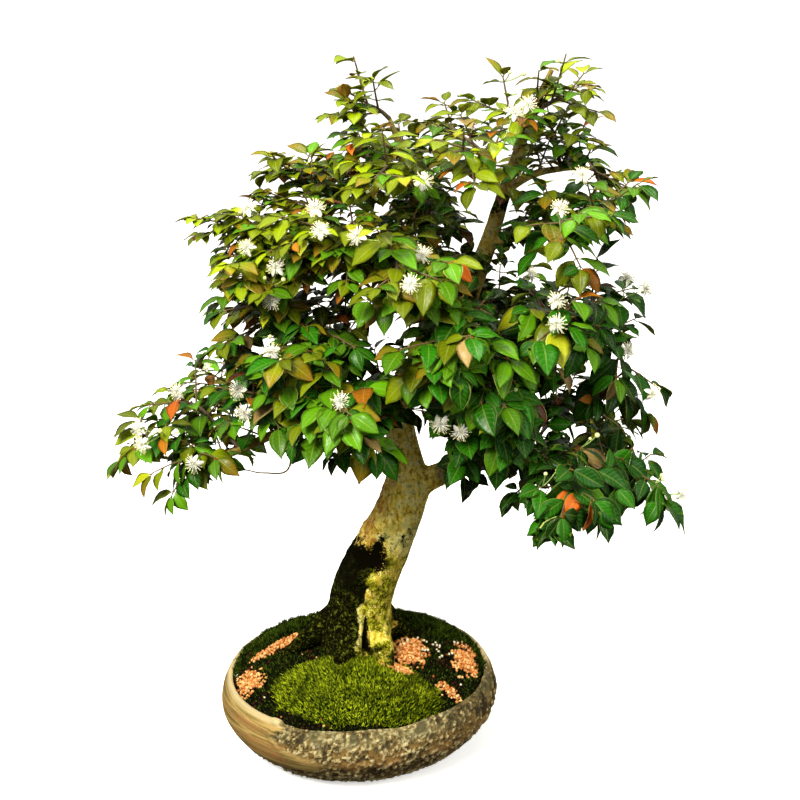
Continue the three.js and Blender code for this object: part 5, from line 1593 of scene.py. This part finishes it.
def add_flower(shape, flower, wild):
    """Four white petals bent back, green sepals under them, and a ball of stamens."""
    centre, axis = flower["middle"], flower["axis"]
    level = sideways(axis)
    over = np.cross(axis, level)
    for k in range(4):
        turn = flower["turn"] + math.pi / 2 * k + 0.3 * (wild.random() - 0.5)
        out = level * math.cos(turn) + over * math.sin(turn)
        side = np.cross(axis, out)
        bend = 0.95 + 0.4 * wild.random()
        add_petal(shape, centre, axis, out, side, PETAL_LENGTH, PETAL_HALF_WIDTH, PETAL_WHITE, bend)
        leaf_out = unit(out + side)
        leaf_side = np.cross(axis, leaf_out)
        sepal = (SEPAL_LENGTH, SEPAL_HALF_WIDTH, SEPAL_GREEN, 1.1)
        add_petal(shape, centre - axis, axis, leaf_out, leaf_side, *sepal)
    points, faces = BALLS[1]
    shape.add(centre - axis * 0.6 + points * HEART_RADIUS, faces, SEPAL_GREEN)
    small, small_faces = ANTHER
    for k in range(STAMENS):
        turn = k * SHOOT_TURN + 0.4 * wild.random()
        lean = 1.5 * math.sqrt((k + 0.5) / STAMENS)
        out = level * math.cos(turn) + over * math.sin(turn)
        way = unit(axis * math.cos(lean) + out * math.sin(lean))
        reach = STAMEN_LENGTH * (0.75 + 0.35 * wild.random())
        bow = axis * 0.5 - out * 0.3
        path = [centre + out * 0.6, centre + way * reach * 0.55 + bow, centre + way * reach]
        shape.add(*tube_mesh(path, [STAMEN_RADIUS * 1.3, STAMEN_RADIUS, STAMEN_RADIUS], 3), PETAL_WHITE)
        shape.add(path[-1] + small * ANTHER_RADIUS * (0.8 + 0.4 * wild.random()), small_faces, ANTHER_CREAM)


BALLS = {1: ball_mesh(1), 2: ball_mesh(2)}
ANTHER = (
    np.array([(1, 0, 0), (-1, 0, 0), (0, 1, 0), (0, -1, 0), (0, 0, 1), (0, 0, -1)], float),
    [(0, 2, 4), (2, 1, 4), (1, 3, 4), (3, 0, 4), (2, 0, 5), (1, 2, 5), (3, 1, 5), (0, 3, 5)],
)


def add_stalk(shape, start, end):
    """A thin green stalk that sags a little."""
    sag = (start + end) / 2 - UP * 0.06 * math.dist(start, end)
    path = smooth_path([start, sag, end], 3)
    shape.add(*tube_mesh(path, [PEDICEL_RADIUS] * len(path), 4), SEPAL_GREEN)


def build_flowers(bunches):
    """Single flowers on a stalk, and bunches on one stalk that forks."""
    own = 0
    for index, (row, bunch) in enumerate(zip(BLOOMS, bunches)):
        wild = random.Random(FLOWER_SEED + index)
        shape = Shape()
        several = len(bunch["flowers"]) > 1
        if several:
            add_stalk(shape, bunch["place"], bunch["fork"])
        for flower in bunch["flowers"]:
            add_stalk(shape, bunch["fork"] if several else bunch["place"], flower["middle"] - flower["axis"])
            add_flower(shape, flower, wild)
        piece = shape.piece(f"flowers_{index + 1:02d}", ["petal"], "petal")
        if row[4]:
            own += 1
            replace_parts(piece, f"bloom_{own}")


def build_buds(sprays):
    """Small bunches of round buds."""
    shape = Shape()
    wild = random.Random(BUD_SEED)
    points, faces = BALLS[2]
    for index, row in enumerate(BUDS):
        bunch = bunch_places(row, BUD_BUNCH_SEED + index, sprays)
        for flower in bunch["flowers"]:
            middle = bunch["place"] + (flower["middle"] - bunch["place"]) * 0.8
            add_stalk(shape, bunch["place"], middle)
            radius = BUD_RADIUS * (0.7 + 0.5 * wild.random())
            shape.add(middle + points * radius, faces, BUD_GREEN)
    shape.piece("flower_buds", ["petal"], "petal")


# Ground cover


def pad_point(row, share, angle):
    """A place on a pad, at a share of its size and an angle round it."""
    x, y, half_length, half_width, degrees, _ = row
    turn = math.radians(degrees)
    along = half_length * share * math.cos(angle)
    out = half_width * share * math.sin(angle)
    x += along * math.cos(turn) - out * math.sin(turn)
    y += along * math.sin(turn) + out * math.cos(turn)
    return x, y


def moss_top(row, share, x, y):
    """The height of a moss pad: crowned, and broken into soft clumps."""
    crown = row[5] * (1 - share**2.6)
    clump = noise.fractal(Vector((x, y, 3)) / 12, 0.7, 2.0, 3)
    tussock = cloudy(x, y, 5, 7)
    return soil_height(x, y) + crown * 0.9 + (1.6 * clump + 1.2 * tussock) * (1 - share**4)


def add_tuft(shape, base, lean, wild, size, low, high, blades=4):
    """A loose star of pointed moss leaves, each with a tone of its own."""
    for k in range(blades):
        turn = k * SHOOT_TURN + 6 * wild.random()
        way = unit(lean + vec(math.cos(turn), math.sin(turn), 0) * (0.3 + 0.9 * wild.random()))
        side = sideways(way)
        over = np.cross(way, side)
        reach = size * (0.55 + 0.75 * wild.random())
        width = 0.14 * size
        root = base - lean * 1.2
        low_side = root - side * width * 0.6
        points = [root + side * width, low_side + over * width, low_side - over * width, base + way * reach]
        bright = wild.random() ** 2.6
        tip = mixed(low, high, bright)
        foot = mixed(low, high, 0.3 * bright)
        shape.add(points, [(0, 2, 1), (0, 1, 3), (1, 2, 3), (2, 0, 3)], [foot, foot, foot, tip])


MOSS_LOW = colour(12, 30, 0)
MOSS_HIGH = colour(232, 252, 44)
DARK_MOSS_LOW = colour(3, 8, 0)
DARK_MOSS_HIGH = colour(112, 142, 34)
GRAIN_TONES = (colour(214, 150, 86), colour(196, 128, 68), colour(232, 182, 120), colour(164, 96, 46))
PALE_GRAIN = colour(226, 220, 190)
CRUMB_BROWN = colour(16, 13, 5)


def ragged(angle, index):
    """How far a pad reaches at an angle, as a share: its outline is uneven."""
    slow = cloudy(math.cos(angle) * 2.2, math.sin(angle) * 2.2, index)
    quick = cloudy(math.cos(angle) * 7, math.sin(angle) * 7, index + 20)
    return 1 + 0.13 * slow + 0.12 * quick


def build_moss():
    """Each pad is a closed mound, with tufts all over it."""
    for index, (name, row) in enumerate(MOSS_PADS.items()):
        wild = random.Random(MOSS_SEED + index)
        bright = name == "moss_cushion"
        low, high = (MOSS_LOW, MOSS_HIGH) if bright else (DARK_MOSS_LOW, DARK_MOSS_HIGH)
        shape = Shape()
        rings = []
        for share in np.linspace(1.0, 0.04, MOSS_RINGS):
            ring = []
            for k in range(MOSS_SIDES):
                angle = 2 * math.pi * k / MOSS_SIDES
                x, y = pad_point(row, share * (ragged(angle, index) - 0.05), angle)
                ring.append((x, y, moss_top(row, share, x, y)))
            rings.append(np.array(ring))
        below = rings[0] - [0, 0, 3]
        middle = vec(row[0], row[1], 0)
        peak = middle + UP * moss_top(row, 0, row[0], row[1])
        floor = middle + UP * (soil_height(row[0], row[1]) - 3)
        shape.add(*rings_mesh([below, *rings], peak, floor), mixed(low, (0, 0, 0, 1), 0.55))
        spacing = BRIGHT_SPACING if bright else DARK_SPACING
        blade = BRIGHT_BLADE if bright else DARK_BLADE
        total = int(math.pi * row[2] * row[3] / spacing**2)
        for k in range(total):
            share = math.sqrt((k + 0.5) / total)
            angle = k * SHOOT_TURN
            x, y = pad_point(row, share * ragged(angle, index), angle)
            x += 1.6 * (wild.random() - 0.5)
            y += 1.6 * (wild.random() - 0.5)
            patch = 0.6 + 0.8 * cloudy(x, y, 8, 15) + 1.3 * cloudy(x, y, 4, 3.5)
            tip = mixed(mixed(low, high, 0.2), high, min(max(patch, 0), 1))
            lean = unit(vec((x - row[0]) / 90, (y - row[1]) / 70, 1))
            if bright and pad_share(SPILL, x, y) < 0.9:
                continue
            root = vec(x, y, moss_top(row, share, x, y))
            add_tuft(shape, root, lean, wild, blade, low, tip, 5)
        slot_name = "moss" if bright else "dark_moss"
        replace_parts(shape.piece(f"mossy_{name}", ["moss"], slot_name), name)


def add_granule(shape, place, radius, tone, wild):
    """One lumpy grain, turned at random."""
    points, faces = BALLS[1]
    stretch = np.array([0.8 + 0.5 * wild.random() for _ in range(3)])
    turn = Matrix.Rotation(6 * wild.random(), 3, Vector((wild.random() - 0.5, wild.random() - 0.5, 0.4)))
    jitter = np.array([0.85 + 0.3 * wild.random() for _ in points])[:, None]
    lump = (points * stretch * jitter * radius) @ np.array(turn)
    shade = 0.8 + 0.35 * wild.random()
    shape.add(place + lump, faces, np.array(tone) * [shade, shade, shade, 1])


def pad_share(row, x, y):
    """How far out a place lies on a pad: 0 in its middle, 1 at its edge."""
    turn = math.radians(row[4])
    along = (x - row[0]) * math.cos(turn) + (y - row[1]) * math.sin(turn)
    out = (y - row[1]) * math.cos(turn) - (x - row[0]) * math.sin(turn)
    return min(math.hypot(along / row[2], out / row[3]), 1)


def build_granules():
    """Each patch is heaped in layers. Beside the trunk, grains spill on the moss and pale ones lie on top."""
    for index, (name, row) in enumerate(GRAIN_PADS.items()):
        wild = random.Random(GRAIN_SEED + index)
        shape = Shape()
        area = math.pi * row[2] * row[3]
        for layer, (spacing, rise, reach) in enumerate(GRAIN_LAYERS):
            total = int(area * reach**2 / spacing**2 * 1.25)
            for k in range(total):
                share = reach * math.sqrt((k + 0.5) / total) * (0.93 + 0.14 * wild.random())
                angle = k * SHOOT_TURN + layer + 0.3 * wild.random()
                x, y = pad_point(row, share * ragged(angle, index + 5), angle)
                if cloudy(x, y, 2, 6) < (share / reach - 0.95) * 0.9:
                    continue
                place = vec(x, y, soil_height(x, y) + rise + 0.5 * wild.random())
                add_granule(shape, place, 0.95 + 0.5 * wild.random(), wild.choice(GRAIN_TONES), wild)
        if name == "grain_patch_trunk":
            for k in range(SPILT_GRAINS):
                share = math.sqrt((k + 0.5) / SPILT_GRAINS)
                x, y = pad_point(SPILL, share * ragged(k * SHOOT_TURN, index + 9), k * SHOOT_TURN)
                cushion = MOSS_PADS["moss_cushion"]
                ground = max(soil_height(x, y), moss_top(cushion, pad_share(cushion, x, y), x, y))
                radius = 1 + 0.5 * wild.random()
                add_granule(shape, vec(x, y, ground + 1.2), radius, wild.choice(GRAIN_TONES), wild)
            for k in range(PALE_GRAINS):
                x, y = pad_point(PALE_SCATTER, 0.4 + 0.6 * wild.random(), k * SHOOT_TURN)
                ground = vec(x, y, soil_height(x, y) + 2.6)
                add_granule(shape, ground, 0.9 + 0.4 * wild.random(), PALE_GRAIN, wild)
        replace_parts(shape.piece(f"clay_{name}", ["granule"], "grain"), name)


def on_pad(x, y, reach):
    """Whether a place on the soil lies under a pad."""
    return any(pad_share(row, x, y) < reach for row in [*MOSS_PADS.values(), *GRAIN_PADS.values()])


def build_ground_litter():
    """Dark tufts, soil crumbs and a few pale grains over the open soil."""
    wild = random.Random(LITTER_SEED)
    tufts = Shape()
    crumbs = Shape()
    for k in range(GROUND_SPOTS):
        share = math.sqrt((k + 0.5) / GROUND_SPOTS)
        angle = k * SHOOT_TURN
        x = GROUND_REACH * share * math.cos(angle) + wild.random() - 0.5
        y = GROUND_REACH * share * math.sin(angle) + wild.random() - 0.5
        if on_pad(x, y, 0.9) or math.hypot(x, y) < TRUNK_FOOT_REACH:
            continue
        ground = vec(x, y, soil_height(x, y))
        mossy = cloudy(x, y, 1, 17) + 0.25
        if wild.random() < mossy * 2 + 0.5:
            tip = mixed(DARK_MOSS_LOW, DARK_MOSS_HIGH, wild.random())
            add_tuft(tufts, ground, unit(vec(x / 260, y / 260, 1)), wild, 3, DARK_MOSS_LOW, tip)
        elif wild.random() < 0.5:
            add_granule(crumbs, ground + UP * 0.3, 0.9 + 0.7 * wild.random(), CRUMB_BROWN, wild)
        elif wild.random() < 0.1:
            tone = PALE_GRAIN if wild.random() < 0.2 else wild.choice(GRAIN_TONES)
            add_granule(crumbs, ground + UP * 1.1, 0.8 + 0.6 * wild.random(), tone, wild)
    for k in range(RIM_TUFTS):
        angle = RIM_MOSS_FROM + (RIM_MOSS_TO - RIM_MOSS_FROM) * (k + wild.random()) / RIM_TUFTS
        reach = RIM_MOSS_REACH + RIM_MOSS_WIDTH * math.sqrt(wild.random())
        x, y = reach * math.cos(angle), reach * math.sin(angle)
        height = 3.2 + 1.8 * cloudy(x, y, 6, 9)
        tip = mixed(DARK_MOSS_LOW, DARK_MOSS_HIGH, wild.random())
        outward = unit(vec(x / 300, y / 300, 1))
        ground = vec(x, y, soil_height(x, y) + height * 0.4)
        add_tuft(tufts, ground, outward, wild, height + 1.5, DARK_MOSS_LOW, tip)
    tufts.piece("soil_moss_tufts", ["moss"], "dark_moss")
    crumbs.piece("soil_crumbs", ["granule"], "soil")


# Studio


def build_paper():
    """White paper under the pot. Far away it rises, so it is all that the camera sees behind."""
    corners = [(-0.5, -0.5), (0.5, -0.5), (0.5, 0.5), (-0.5, 0.5)]
    points = [(x * size, y * size, rise) for size, rise in PAPER_STEPS for x, y in corners]
    skirt = [(k, 4 + k, 4 + (k + 1) % 4, (k + 1) % 4) for k in range(4)]
    floor = object_of("studio_floor", points, [(0, 1, 2, 3)] + skirt)
    look = Look("studio_paper", 0.9, **{"Specular IOR Level": 0.1, "Emission Strength": PAPER_GLOW})
    paper = look.mix(look.noise(30, 2), (246, 246, 245), (250, 250, 249))
    look.feed(Base_Color=paper, Emission_Color=paper)
    floor.data.materials.append(look.material)
    floor.visible_diffuse = False
    floor.visible_glossy = False


def build_air():
    """White light from all round, weaker from below."""
    world = bpy.data.worlds.new("studio_air")
    world.use_nodes = True
    air = world.node_tree
    background = air.nodes["Background"]
    background.inputs["Color"].default_value = AIR_TINT
    way = air.nodes.new("ShaderNodeTexCoord")
    parts = air.nodes.new("ShaderNodeSeparateXYZ")
    glow = air.nodes.new("ShaderNodeMapRange")
    names = ("From Min", "From Max", "To Min", "To Max")
    for name, value in zip(names, (*AIR_BAND, AIR_BELOW, AIR_LIGHT)):
        glow.inputs[name].default_value = value
    air.links.new(way.outputs["Generated"], parts.inputs[0])
    air.links.new(parts.outputs["Z"], glow.inputs["Value"])
    air.links.new(glow.outputs[0], background.inputs["Strength"])
    bpy.context.scene.world = world


def build_lamps():
    for name, place, size, power, tint in LAMPS:
        lamp = bpy.data.lights.new(name, "AREA")
        lamp.size = size
        lamp.energy = power
        lamp.color = tint
        holder = bpy.data.objects.new(name, lamp)
        bpy.context.scene.collection.objects.link(holder)
        holder.location = place
        holder.rotation_euler = (LAMP_AIM - Vector(place)).to_track_quat("-Z", "Y").to_euler()


def build_camera():
    """The photo's camera."""
    data = bpy.data.cameras.new("photo_camera")
    data.lens = CAMERA_LENS
    data.sensor_width = CAMERA_SENSOR
    camera = bpy.data.objects.new("photo_camera", data)
    bpy.context.scene.collection.objects.link(camera)
    forward = Vector((0, math.cos(CAMERA_PITCH), -math.sin(CAMERA_PITCH)))
    level = Vector((1, 0, 0))
    upright = level.cross(forward)
    right = level * math.cos(CAMERA_ROLL) - upright * math.sin(CAMERA_ROLL)
    above = upright * math.cos(CAMERA_ROLL) + level * math.sin(CAMERA_ROLL)
    turn = Matrix((right, above, -forward)).transposed().to_4x4()
    camera.matrix_world = Matrix.Translation(CAMERA_PLACE) @ turn
    bpy.context.scene.camera = camera


build_camera()
build_paper()
build_air()
build_lamps()
bpy.context.scene.view_settings.view_transform = "Standard"
build_pot()
build_soil()
build_wood()
SPRAYS_GROWN = [grow_spray(row, index) for index, row in enumerate(SPRAYS)]
BUNCHES = [bunch_places(row, BLOOM_SEED + 13 * index, SPRAYS_GROWN) for index, row in enumerate(BLOOMS)]
build_sprays(SPRAYS_GROWN, BUNCHES)
build_inner_twigs(BUNCHES)
build_bare_twig(SPRAYS_GROWN)
build_flowers(BUNCHES)
build_buds(SPRAYS_GROWN)
build_moss()
build_granules()
build_ground_litter()
for number in (1, 2):
    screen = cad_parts[f"drain_screen_{number}"]
    screen.data.materials.clear()
    screen.data.materials.append(LOOKS["plastic"])
